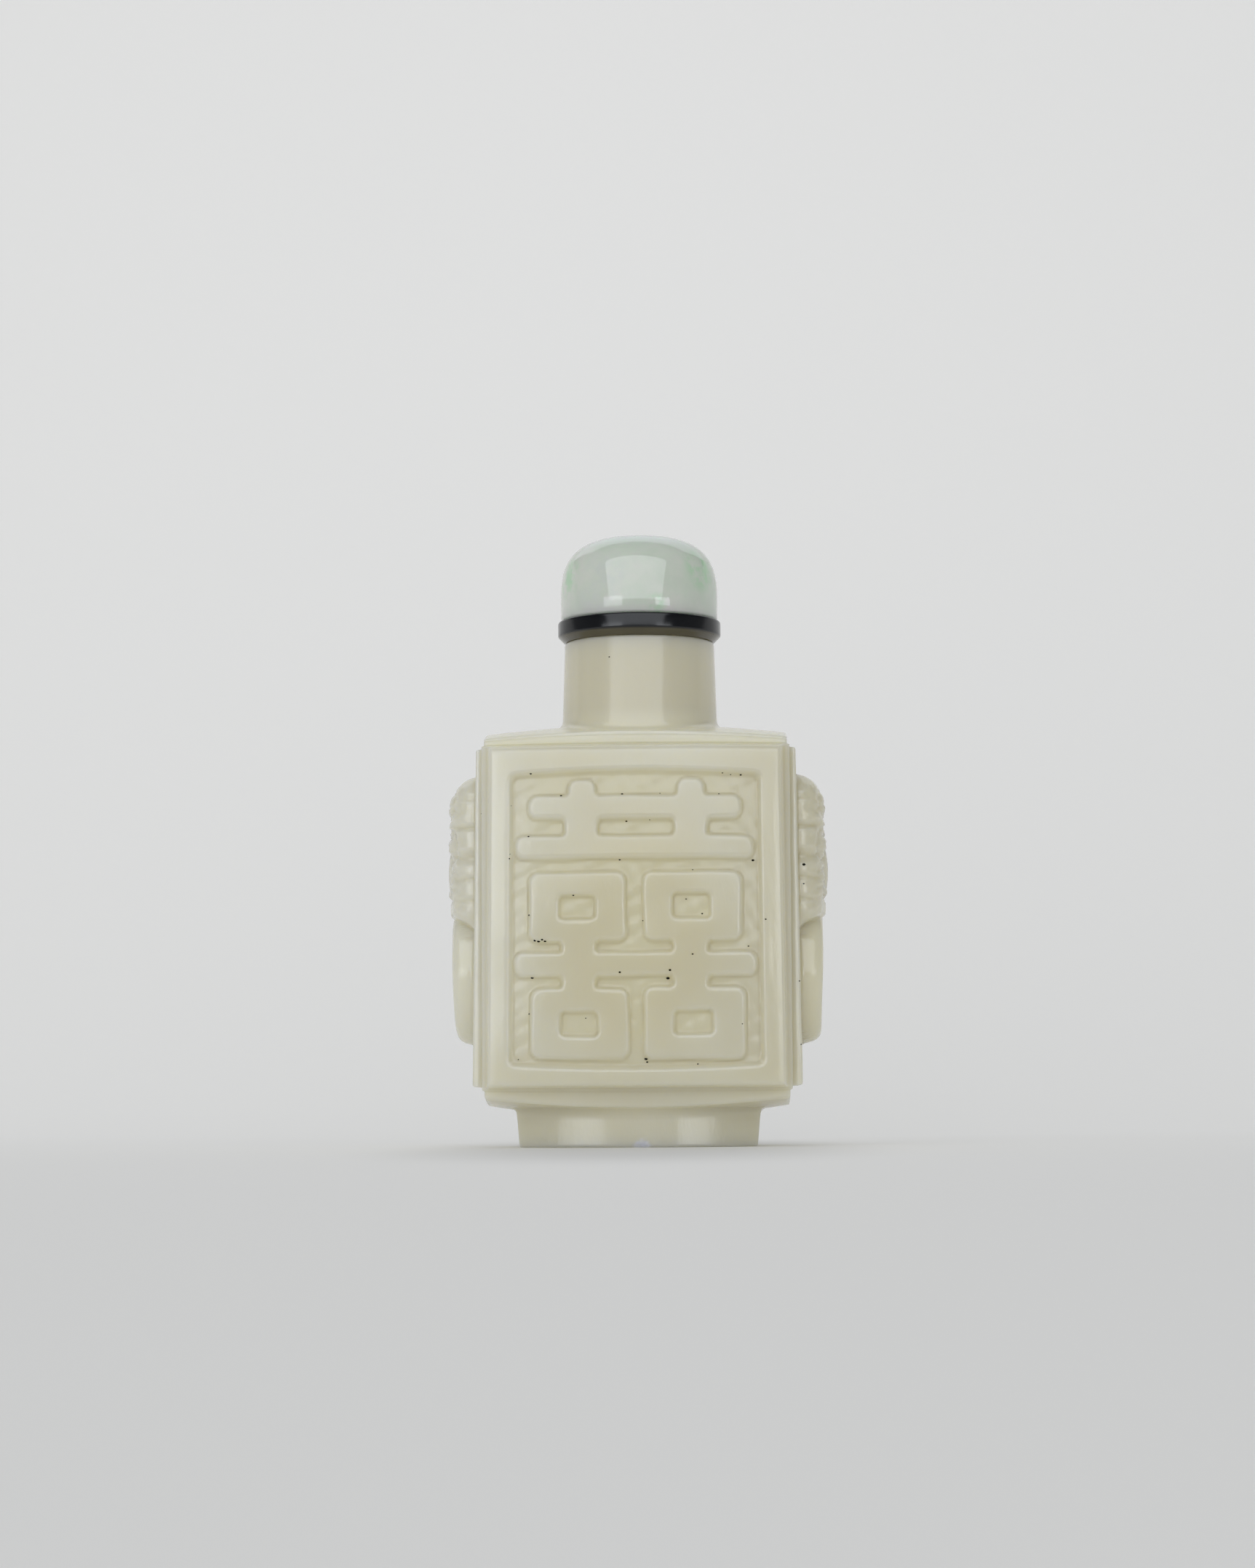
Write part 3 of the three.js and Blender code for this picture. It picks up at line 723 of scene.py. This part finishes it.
def neck_rows(angle):
    """Over the rounded lip, down the slightly spreading neck and into the fillet at its root."""
    rows = [circle(angle, radius, LIP - below) for radius, below in LIP_ROUND]
    for share in NECK_SHARES:
        level = NECK_HIGH + (NECK_LOW - NECK_HIGH) * share
        rows.append(circle(angle, NECK_RADIUS + NECK_SPREAD * share, level))
    for radius, above in NECK_FILLET:
        row = circle(angle, radius, 0.0)
        rows.append(moved(row, shoulder_height(row) + above))
    return rows


# The shoulder's rows as share of the way out and drop, and the upper tier under it, whose fine
# ground line is a groove given as share of the way down and depth
SHOULDER_ROWS = [(share, 0.0) for share in np.linspace(0.12, 0.96, 8)] + [(0.985, 0.04)]
TIER_INSET, TIER_DROP = 0.25, 0.2
TIER_GROOVE = [(0.0, 0.0), (0.09, -0.01), (0.15, 0.07), (0.21, 0.07), (0.27, 0.0), (0.6, 0.0),
               (0.9, 0.0)]
# How far off the panels the upper tier ends, the lower one starts, and both their plans are taken
TIER_FOOT, LOWER_TIER_TOP, TIER_PLAN = 0.3, 0.45, 1.2


def shoulder_rows(root, edge):
    """Straight lines in plan from the neck's root to the tier's edge, at the shoulder's height."""
    rows = []
    for share, below in SHOULDER_ROWS:
        row = root + (edge - root) * share
        rows.append(moved(row, shoulder_height(row) - below))
    rim = shoulder_height(edge) - TIER_DROP
    for share, groove in TIER_GROOVE:
        row = body_row(PANEL_HIGH + TIER_FOOT, TIER_INSET + groove, relief=0)
        rows.append(moved(row, rim + (row[:, 2] - rim) * share))
    return rows


# The levels of the body's rows, closer together at every edge
TOP_LEVELS = [[PANEL_HIGH + 0.25, PANEL_HIGH + 0.1], PANEL_HIGH - EDGE_STEPS,
              [40.85, 40.65, 39.8, 39.2, 38.95, 38.75, 38.6, 38.45, 38.3]]
FIELD_LEVELS = np.linspace(38.1, 9.2, 134)
LOW_LEVELS = [[9.0, 8.85, 8.7, 8.5, 8.35, 8.2, 8.0, 7.4, 6.9], PANEL_LOW + EDGE_STEPS[::-1]]
BODY_LEVELS = np.concatenate(TOP_LEVELS + [FIELD_LEVELS] + LOW_LEVELS)
# Plain rows of the core below the panels, as drop and inset
CORE_ROWS = [(0.2, 0.0), (0.35, 0.02)]


def panel_rows():
    """The body with its panels, and the core that shows below them."""
    core = [body_row(PANEL_LOW - below, inset, relief=0) for below, inset in CORE_ROWS]
    return [body_row(level) for level in BODY_LEVELS] + core


# The lower tier, the hipped underside and the foot
LOWER_TIER_SHARES = (0.05, 0.2, 0.6, 1.0)
UNDERSIDE, UNDERSIDE_RISE = 3.0, 1.35
UNDERSIDE_SHARES = (0.03, 0.2, 0.4, 0.6, 0.8)
FOOT_HALF_WIDTH, FOOT_DEPTH, FOOT_RADIUS = 12.7, 8.35, 19.5
FOOT_END = FOOT_DEPTH - FOOT_RADIUS + math.sqrt(FOOT_RADIUS ** 2 - FOOT_HALF_WIDTH ** 2)
FOOT_HEIGHT, FOOT_LEAN_SIDE, FOOT_LEAN_FRONT = 3.4, 0.3, 0.12
FOOT_LEVELS = (2.8, 2.2, 1.6, 1.1, 0.75, 0.5, 0.33, 0.2)
# How wide a span of the columns beyond the panel's edge would close the foot's flat end
END_SPAN = 6
# How far the foot's outline spreads, with how far it lies below the underside, then its level
FOOT_FILLET = [(0.55, 0.0), (0.3, 0.08), (0.12, 0.25), (0.03, 0.48), (0.0, 0.75)]
FOOT_SOLE = [(-0.32, 0.12), (-0.37, 0.05), (-0.5, 0.0), (-1.7, 0.0), (-1.85, 0.06),
             (-1.95, 0.3), (-2.0, 0.85), (-2.3, 1.0)]
SOLE_SHIFT = 0.42
SOLE_SHARES = (0.6, 0.25)


def underside_height(points):
    """The underside rises to the sides and to the front: two parabolas."""
    side = (points[:, 0] / CORE_HALF_WIDTH) ** 2
    return UNDERSIDE + UNDERSIDE_RISE * (side + (points[:, 1] / CORE_HALF_DEPTH) ** 2)


def foot_row(half_width, wider, level):
    """The foot's outline, a bowed front and back between flat ends, with the body's columns."""
    end = FOOT_END + wider
    faces = []
    for places, sign in ((FRONT_PLACES, -1), (BACK_PLACES, 1)):
        x = np.clip(places / PANEL_EDGE, -1, 1) * half_width
        arc = FOOT_DEPTH + wider - FOOT_RADIUS + np.sqrt(FOOT_RADIUS ** 2 - x ** 2)
        beyond = np.clip((np.abs(places) - PANEL_EDGE) / END_SPAN, 0, 1)
        faces.append(np.column_stack([x, sign * (arc - beyond * end)]))
    count = len(side_places(BODY_MIDDLE)[0]) + 2 * len(CORNER_TURNS)
    along = np.linspace(faces[0][-1, 1], -faces[0][-1, 1], count + 2)[1:-1]
    right = np.column_stack([half_width + 0 * along, along])
    return moved(np.concatenate([faces[0], right, faces[1], -right]), level)


def underside_rows(edge):
    """The lower tier, the underside in to the foot, and the fillet between them."""
    brim = underside_height(edge) + TIER_DROP
    rows = []
    for share in LOWER_TIER_SHARES:
        row = body_row(PANEL_LOW - LOWER_TIER_TOP, TIER_INSET, relief=0)
        rows.append(moved(row, row[:, 2] + (brim - row[:, 2]) * share))
    root = foot_row(FOOT_HALF_WIDTH + FOOT_FILLET[0][0], FOOT_FILLET[0][0], 0.0)
    for share in UNDERSIDE_SHARES:
        row = edge + (root - edge) * share
        rows.append(moved(row, underside_height(row)))
    for wider, below in FOOT_FILLET:
        row = foot_row(FOOT_HALF_WIDTH + wider, wider, 0.0)
        rows.append(moved(row, underside_height(row) - below))
    return rows


def foot_rows():
    """Down the slightly leaning foot, over its rounded rim, and in under its hollowed sole."""
    rows = []
    for level in FOOT_LEVELS:
        lean = (FOOT_HEIGHT - level) / FOOT_HEIGHT
        half_width = FOOT_HALF_WIDTH - FOOT_LEAN_SIDE * lean
        rows.append(foot_row(half_width, FOOT_LEAN_FRONT * lean, level))
    for wider, level in FOOT_SOLE:
        rows.append(foot_row(FOOT_HALF_WIDTH + wider, wider + SOLE_SHIFT, level))
    return rows + [rows[-1] * (share, share, 1) for share in SOLE_SHARES]


def bottle_rows():
    """All rows of the closed surface."""
    upper_edge = body_row(PANEL_HIGH + TIER_PLAN, TIER_INSET, relief=0)
    lower_edge = body_row(PANEL_LOW - TIER_PLAN, TIER_INSET, relief=0)
    angle = np.arctan2(upper_edge[:, 1], upper_edge[:, 0])
    neck = neck_rows(angle)
    upper = hollow_rows(angle) + neck + shoulder_rows(neck[-1], upper_edge)
    return np.array(upper + panel_rows() + underside_rows(lower_edge) + foot_rows())


# An old chip in the foot's lower front edge, and the marks that the material reads
CHIP_X, CHIP_Z = 0.45, 0.2
CHIP_HALF_WIDTH, CHIP_HEIGHT, CHIP_DEPTH = 1.2, 0.8, 0.35
CHIP_UNEVEN, CHIP_WAVE, CHIP_EDGE = 0.25, 0.5, 2.5
FOOT_FRONT, BODY_FRONT = -5, -7
GROUND_EDGE = 0.6
SEAM_PLACE, SEAM_HALF_WIDTH = 0.34, 0.2
BORDER_SEAM, SEAM_PATCHY, SEAM_WAVE = 0.7, 0.35, 5.0


def chip_share(x, y, z):
    """How deep the chip is at each point: an uneven hill on the foot's front."""
    place = np.hypot((x - CHIP_X) / CHIP_HALF_WIDTH, (z - CHIP_Z) / CHIP_HEIGHT)
    uneven = 1 - CHIP_UNEVEN + CHIP_UNEVEN * wobble(x, z, seed=9, wave=CHIP_WAVE)
    return hill(place, 1.0) * uneven * (y < FOOT_FRONT)


def on_front(y, z):
    """Whether a point is on the outside of the body's front."""
    return (z > PANEL_LOW) * (z < PANEL_HIGH) * (y < BODY_FRONT)


def ground_share(x, y, z):
    """Where the sunken field's bare ground lies, between its edge and the strokes."""
    inside = smooth(recess_inside(x, z) / GROUND_EDGE)
    return inside * (1 - emblem_height(x, z) / RELIEF_HEIGHT) * on_front(y, z)


def seam_dirt_and_shade_share(x, y, z):
    """Where the walls' feet are darker, from dirt and painted crease shade: narrow hills along the
    strokes and the border.
    """
    inside = recess_inside(x, z)
    strokes = hill(emblem_distance(x, z) - SEAM_PLACE, SEAM_HALF_WIDTH) * (inside > RECESS_WALL)
    border = BORDER_SEAM * hill(inside - RECESS_WALL, SEAM_HALF_WIDTH)
    patchy = 1 - SEAM_PATCHY + SEAM_PATCHY * wobble(x, z, seed=6, wave=SEAM_WAVE)
    return np.maximum(strokes, border) * patchy * on_front(y, z)


def make_bottle():
    """The whole surface, with its ground, seams and chip marked for the material."""
    rows = bottle_rows()
    x, y, z = np.moveaxis(rows, 2, 0)
    chip = chip_share(x, y, z)
    marks = {"ground": ground_share(x, y, z), "seam_dirt_and_shade": seam_dirt_and_shade_share(x, y, z),
             "chip": smooth(chip * CHIP_EDGE)}
    rows[..., 1] += CHIP_DEPTH * chip
    piece = add_rings("jade_bottle", rows * MM, inwards=True)
    for name, values in marks.items():
        layer = piece.data.attributes.new(name, "FLOAT", "POINT")
        layer.data.foreach_set("value", np.append(values.ravel(), np.zeros(2)))
    return piece


# The jade, cloudy and pale, warmer in the middle of the front. Painted light pales its left,
# its upper tier and the field's ground, which also has its own warmer tone; painted shade
# darkens its right and its lower part.
# Each further colour comes in over a span of places in metres, some only by a share.
JADE_CLOUDY, JADE_PALE = (0.785, 0.75, 0.59, 1), (0.80, 0.775, 0.635, 1)
CLOUD_SCALE, CLOUD_DETAIL, CLOUD_STRETCH, CLOUD_SPAN = 110, 5, (1, 1, 0.7), (0.35, 0.65)
JADE_MIDDLE, MIDDLE_REACH = (0.78, 0.728, 0.53, 1), (5 * MM, 13.5 * MM)
MIDDLE_PLACE, MIDDLE_STRETCH = (0, -9 * MM, 22 * MM), (1, 1, 0.75)
# The field's ground: its own warmer tone, made paler by painted light where the recess gets less
# light
GROUND_TONE_AND_PAINTED_LIGHT, GROUND_SHARE = (0.85, 0.805, 0.57, 1), 0.6
# Painted light paling the left, painted shade darkening the right and the lower part
PAINTED_LIGHT_LEFT, LEFT_REACH = (0.812, 0.79, 0.665, 1), (-15.5 * MM, -8 * MM)
PAINTED_SHADE_RIGHT, RIGHT_REACH = (0.755, 0.715, 0.55, 1), (6 * MM, 15 * MM)
PAINTED_SHADE_LOW, LOW_REACH = (0.765, 0.728, 0.565, 1), (6 * MM, 13 * MM)
SIDE_SHARE, LOW_SHARE = 0.8, 0.6
# Painted light paling the upper tier
PAINTED_LIGHT_TIER, TIER_REACH = (0.87, 0.84, 0.675, 1), (41.3 * MM, 41.9 * MM)
JADE_NECK, NECK_REACH = (0.75, 0.713, 0.56, 1), (43.5 * MM, 46 * MM)
# Darker at the walls' feet: partly dirt, partly painted shade in the creases
SEAM_DIRT_AND_PAINTED_SHADE, SEAM_STRENGTH = (0.56, 0.5, 0.34, 1), 0.36
CHIP_WHITE = (0.97, 0.97, 0.95, 1)
# How light soaks into the stone, reaching as far as the scale in each colour's share
JADE_BODY = {"Subsurface Weight": 1, "Subsurface Radius": (1.0, 0.95, 0.75),
             "Subsurface Scale": 3.5 * MM, "IOR": 1.61}
JADE_ROUGHNESS, GROUND_ROUGHNESS = 0.16, 0.2
POLISH_SCALE, POLISH_STRETCH = 900, (1, 1, 0.35)
POLISH_DEPTH, POLISH_STRENGTH = 0.1 * MM, 0.35
NOISE_ROUGHNESS, NOISE_DETAIL = 0.6, 3


def marked(tree, name):
    """A value stored on the mesh."""
    return add_node(tree, "ShaderNodeAttribute", {}, attribute_name=name).outputs["Fac"]


def noise(tree, scale, detail=NOISE_DETAIL, stretch=(1, 1, 1)):
    """Soft noise between 0 and 1 over the object, finer along the stretched axes."""
    place = vector_node(tree, "MULTIPLY", object_place(tree), stretch)
    inputs = {"Vector": place, "Scale": scale, "Detail": detail, "Roughness": NOISE_ROUGHNESS}
    return add_node(tree, "ShaderNodeTexNoise", inputs).outputs["Fac"]


def layered(tree, colour, layers):
    """A colour with others laid over it in turn, each by its own share."""
    for share, over in layers:
        colour = blend(tree, share, colour, over)
    return colour


def stone_layers(tree):
    """What lies over the jade's clouds, lowest first, as share and colour."""
    off_middle = away_from(tree, MIDDLE_PLACE, MIDDLE_STRETCH)
    place = add_node(tree, "ShaderNodeSeparateXYZ", {0: object_place(tree)}).outputs
    ground = spread(tree, marked(tree, "ground"), (0, 1), (0, GROUND_SHARE), "LINEAR")
    seam_dirt_and_shade = spread(tree, marked(tree, "seam_dirt_and_shade"), (0, 1), (0, SEAM_STRENGTH), "LINEAR")
    # The field's ground: its own tone, paled by painted light
    return [(spread(tree, off_middle, MIDDLE_REACH, (1, 0)), JADE_MIDDLE), (ground, GROUND_TONE_AND_PAINTED_LIGHT),
            # Painted light on the left, painted shade on the right and low down
            (spread(tree, place["X"], LEFT_REACH, (SIDE_SHARE, 0)), PAINTED_LIGHT_LEFT),
            (spread(tree, place["X"], RIGHT_REACH, (0, SIDE_SHARE)), PAINTED_SHADE_RIGHT),
            (spread(tree, place["Z"], LOW_REACH, (LOW_SHARE, 0)), PAINTED_SHADE_LOW),
            # Painted light on the upper tier
            (spread(tree, place["Z"], TIER_REACH), PAINTED_LIGHT_TIER),
            (spread(tree, place["Z"], NECK_REACH), JADE_NECK),
            # The walls' feet darkened by dirt and painted crease shade
            (seam_dirt_and_shade, SEAM_DIRT_AND_PAINTED_SHADE), (marked(tree, "chip"), CHIP_WHITE)]


def make_jade():
    """Waxy nephrite with dirt and painted crease shade in its seams, a white chip, and fine traces
    of the polishing.
    """
    material, tree, shader = new_material("jade", JADE_PALE, JADE_ROUGHNESS)
    clouds = noise(tree, CLOUD_SCALE, CLOUD_DETAIL, CLOUD_STRETCH)
    colour = blend(tree, spread(tree, clouds, CLOUD_SPAN), JADE_CLOUDY, JADE_PALE)
    span = (JADE_ROUGHNESS, GROUND_ROUGHNESS)
    rough = spread(tree, marked(tree, "ground"), (0, 1), span, "LINEAR")
    traces = noise(tree, POLISH_SCALE, stretch=POLISH_STRETCH)
    inputs = {"Strength": POLISH_STRENGTH, "Distance": POLISH_DEPTH, "Height": traces}
    bump = add_node(tree, "ShaderNodeBump", inputs)
    fill(tree, shader, JADE_BODY)
    fill(tree, shader, {"Base Color": layered(tree, colour, stone_layers(tree)),
                        "Roughness": rough, "Normal": bump.outputs["Normal"]})
    return material


bottle = make_bottle()
bottle.data.materials.append(make_jade())
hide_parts("bottle")
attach(bottle, "root")


# Specks
# Tiny pits in the sunken field and along the strokes, filled with old dark dirt. Each is a
# flattened grain, half sunk in the stone, given as x, z and radius in millimetres.
SPECKS = [
    (-10.78, 38.63, 0.09), (10.95, 38.36, 0.1), (9.07, 38.53, 0.06), (9.9, 38.37, 0.06),
    (-7.63, 36.26, 0.09), (-1.31, 36.36, 0.09), (2.6, 36.4, 0.06), (8.68, 36.34, 0.06),
    (-11.03, 32.07, 0.08), (-12.9, 35.33, 0.07), (-13.07, 29.83, 0.08), (-13.0, 30.3, 0.05),
    (1.53, 33.69, 0.06), (-0.88, 33.56, 0.08), (-1.58, 29.58, 0.09), (12.14, 29.47, 0.11),
    (5.92, 28.47, 0.06), (-6.4, 25.94, 0.08), (5.22, 25.47, 0.06), (6.86, 23.96, 0.07),
    (-10.99, 23.95, 0.08), (0.78, 23.26, 0.06), (-10.4, 21.32, 0.11), (-10.02, 21.24, 0.12),
    (-9.65, 21.39, 0.09), (-9.35, 21.24, 0.1), (-10.71, 17.5, 0.12), (-1.64, 17.96, 0.09),
    (3.52, 18.15, 0.1), (3.29, 17.33, 0.13), (5.85, 19.78, 0.07), (-5.19, 13.28, 0.05),
    (-11.02, 13.77, 0.08), (0.99, 9.07, 0.13), (1.1, 8.75, 0.08), (6.29, 8.51, 0.07),
    (-12.2, 9.1, 0.05), (11.6, 20.6, 0.06), (10.9, 12.6, 0.05),
]
# Grains on the handles' flanks, the frame's edge, the side and the neck, as x, y, z and radius
FLANK_SPECKS = [
    (17.45, -6.03, 29.2, 0.13), (17.41, -6.03, 27.2, 0.07), (13.4, -9.5, 23.35, 0.07),
    (16.85, -6.95, 17.05, 0.06), (16.95, -6.93, 10.5, 0.06), (-16.02, -7.4, 34.7, 0.07),
    (-2.65, -7.44, 51.0, 0.06),
]
SPECK_COLUMNS = 8
SPECK_LIFTS = np.radians([-60, -20, 20, 60])
SPECK_WIDE, SPECK_HIGH, SPECK_THICKNESS = 1.55, 1.1, 0.06
DIRT_COLOUR, DIRT_ROUGHNESS = (0.012, 0.01, 0.006, 1), 0.9


def speck_places():
    """Every speck's x, y, z and radius; those in the front lie on its carved surface."""
    x, z, size = np.array(SPECKS).T
    front = np.stack([x, -face_depth(x, z, 1) - front_relief(x, z, 1), z, size], axis=1)
    return np.concatenate([front, FLANK_SPECKS])


def make_specks():
    """An ellipsoid for each speck, flattened from front to back, wide across and low."""
    places = speck_places()
    x, y, z, size = places.T[:, :, None, None]
    turn = np.arange(SPECK_COLUMNS) * 2 * np.pi / SPECK_COLUMNS
    lift = SPECK_LIFTS[:, None]
    across = x + size * SPECK_WIDE * np.cos(lift) * np.cos(turn)
    up = z + size * SPECK_HIGH * np.cos(lift) * np.sin(turn)
    deep = y - SPECK_THICKNESS * np.sin(lift)
    rings = np.stack(np.broadcast_arrays(across, deep, up), axis=3).reshape(len(places), -1, 3)
    tips = np.repeat(places[:, None, :3], 2, axis=1)
    tips[:, :, 1] += [SPECK_THICKNESS, -SPECK_THICKNESS]
    points = np.concatenate([rings, tips], axis=1)
    first = np.arange(len(places))[:, None, None] * points.shape[1]
    faces = [(group + first).reshape(-1, group.shape[1]).tolist()
             for group in ring_faces(len(SPECK_LIFTS), SPECK_COLUMNS)]
    return add_mesh("dirt_specks", points.reshape(-1, 3) * MM, faces[0] + faces[1] + faces[2])


def make_dirt():
    """Dull, nearly black dirt."""
    material, tree, shader = new_material("old_dirt", DIRT_COLOUR, DIRT_ROUGHNESS)
    fill(tree, shader, {"Specular IOR Level": MATT_SHEEN})
    return material


specks = make_specks()
specks.data.materials.append(make_dirt())
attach(specks, "root")


# Stopper collar
# A glossy black disc, turned and polished, that lies on the neck's lip.
# Its lower edge is bevelled to meet the neck, and the bevel is painted a dull olive brown, partly
# where the black thins and partly a painted reflection of the pale neck.
COLLAR_LOW = LIP + 0.02
COLLAR_HIGH = COLLAR_LOW + 2.25
# Its bevel and rim as radius and height, lowest first
COLLAR_PROFILE = [(7.7, 0), (7.93, 0), (7.96, 0.03), (8.3, 0.36), (8.6, 0.66), (8.64, 0.74),
                  (8.65, 0.85), (8.65, 1.95)]
COLLAR_RADIUS, COLLAR_ROUND, COLLAR_TOP_RADIUS = 8.65, 0.25, 8.2
COLLAR_TURNS = (0.4, 0.8, 1.2, 1.57)
TURNED_COLUMNS = 128
# The bevel's brown is partly a painted reflection of the pale neck
COLLAR_BLACK, BEVEL_BROWN_AND_REFLECTION = (0.003, 0.004, 0.006, 1), (0.085, 0.074, 0.045, 1)
BEVEL_REACH = (53.85 * MM, 54.05 * MM)
COLLAR_ROUGHNESS, STREAK_SCALE, STREAK_SPAN = 0.2, 600, (0.1, 0.22)


def turned_piece(name, profile):
    """A closed turned solid on the neck's axis from radius and height pairs, lowest first."""
    turn = np.linspace(0, 2 * np.pi, TURNED_COLUMNS, endpoint=False)
    return add_rings(name, [circle(turn, radius, level) * MM for radius, level in profile])


def make_collar():
    """The bevel, the upright rim, and a quarter round into the flat top."""
    profile = [(radius, COLLAR_LOW + above) for radius, above in COLLAR_PROFILE]
    for angle in COLLAR_TURNS:
        profile.append((COLLAR_RADIUS - COLLAR_ROUND * (1 - math.cos(angle)),
                        COLLAR_HIGH - COLLAR_ROUND * (1 - math.sin(angle))))
    return turned_piece("collar_disc", profile + [(COLLAR_TOP_RADIUS, COLLAR_HIGH)])


def make_black():
    """Deep polished black with faint streaks in its gloss, and brown on the bevel, partly a painted
    reflection of the neck.
    """
    material, tree, shader = new_material("polished_black", COLLAR_BLACK, COLLAR_ROUGHNESS)
    height = add_node(tree, "ShaderNodeSeparateXYZ", {0: object_place(tree)}).outputs["Z"]
    black = spread(tree, height, BEVEL_REACH, (0, 1), "LINEAR")
    rough = spread(tree, noise(tree, STREAK_SCALE), (0, 1), STREAK_SPAN, "LINEAR")
    fill(tree, shader, {"Base Color": blend(tree, black, BEVEL_BROWN_AND_REFLECTION, COLLAR_BLACK),
                        "Roughness": rough})
    return material


collar = make_collar()
collar.data.materials.append(make_black())
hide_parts("stopper_collar")
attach(collar, "root")


# Stopper cap
# A dome of pale green jadeite that sits on the collar, glassy from polishing. The stone is
# cloudy, with a greyish patch low on its left and greener veins; its crown is paler by painted
# light.
CAP_LOW = COLLAR_HIGH + 0.04
CAP_RADIUS = 8.35
# The rounding at its foot as radius and height
CAP_FOOT = [(7.95, 0), (8.15, 0.04), (8.27, 0.14), (8.32, 0.35)]
CAP_WAIST, CAP_RISE, CAP_SQUARENESS = 57.5, 7.15, 3.0
CAP_LIFTS = np.radians(np.linspace(2, 89.9, 44))
CAP_GREEN, CAP_MILKY = (0.71, 0.785, 0.69, 1), (0.795, 0.825, 0.76, 1)
CAP_CLOUD_SCALE, CAP_CLOUD_DETAIL = 130, 5
CAP_WHITE, WHITE_GRAIN = (0.74, 0.785, 0.735, 1), 500
CAP_VEIN, VEIN_GRAIN = (0.58, 0.79, 0.58, 1), 700
# The paler crown is painted light
CAP_CROWN_PAINTED_LIGHT, CROWN_LIGHT_REACH = (0.86, 0.925, 0.885, 1), (62.6 * MM, 64.6 * MM)
# Greyish and green places as a centre in metres with how far each reaches
CAP_WHITES = [((-0.0038, -0.0075, 0.0572), 0.0040), ((-0.0030, -0.0073, 0.0600), 0.0034)]
CAP_GREENS = [((0.0069, -0.0047, 0.0605), 0.0030), ((-0.0074, -0.0038, 0.0600), 0.0028),
              ((0.0023, -0.0081, 0.0566), 0.0014)]
# The share of a place's reach that is whole, and how its edges are broken up
PATCH_CORE, PATCH_DETAIL, PATCH_SPAN = 0.3, 6, (0.38, 0.62)
CAP_BODY = {"Subsurface Weight": 1, "Subsurface Radius": (0.85, 1.0, 0.85),
            "Subsurface Scale": 2 * MM, "IOR": 1.66}
CAP_ROUGHNESS = 0.05


def make_cap():
    """A small rounding at the foot, then a superellipse up to the apex."""
    profile = [(radius, CAP_LOW + above) for radius, above in CAP_FOOT] + [(CAP_RADIUS, CAP_WAIST)]
    for lift in CAP_LIFTS:
        profile.append((CAP_RADIUS * math.cos(lift) ** (2 / CAP_SQUARENESS),
                        CAP_WAIST + CAP_RISE * math.sin(lift) ** (2 / CAP_SQUARENESS)))
    return turned_piece("jadeite_cap", profile)


def patches(tree, places, grain):
    """A mask over some places, their edges broken up by noise."""
    total = 0.0
    for centre, reach in places:
        near = spread(tree, away_from(tree, centre), (PATCH_CORE * reach, reach), (1, 0))
        total = math_node(tree, "MAXIMUM", near, total)
    broken = spread(tree, noise(tree, grain, PATCH_DETAIL), PATCH_SPAN)
    return math_node(tree, "MULTIPLY", total, broken)


def make_jadeite():
    """Pale green clouds with a greyish patch, greener veins and a crown paled by painted light,
    very smooth.
    """
    material, tree, shader = new_material("jadeite", CAP_MILKY, CAP_ROUGHNESS)
    fill(tree, shader, CAP_BODY)
    clouds = spread(tree, noise(tree, CAP_CLOUD_SCALE, CAP_CLOUD_DETAIL), CLOUD_SPAN)
    height = add_node(tree, "ShaderNodeSeparateXYZ", {0: object_place(tree)}).outputs["Z"]
    layers = [(patches(tree, CAP_WHITES, WHITE_GRAIN), CAP_WHITE),
              (patches(tree, CAP_GREENS, VEIN_GRAIN), CAP_VEIN),
              (spread(tree, height, CROWN_LIGHT_REACH), CAP_CROWN_PAINTED_LIGHT)]
    colour = layered(tree, blend(tree, clouds, CAP_GREEN, CAP_MILKY), layers)
    fill(tree, shader, {"Base Color": colour})
    return material


cap = make_cap()
cap.data.materials.append(make_jadeite())
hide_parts("stopper_cap")
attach(cap, "root")
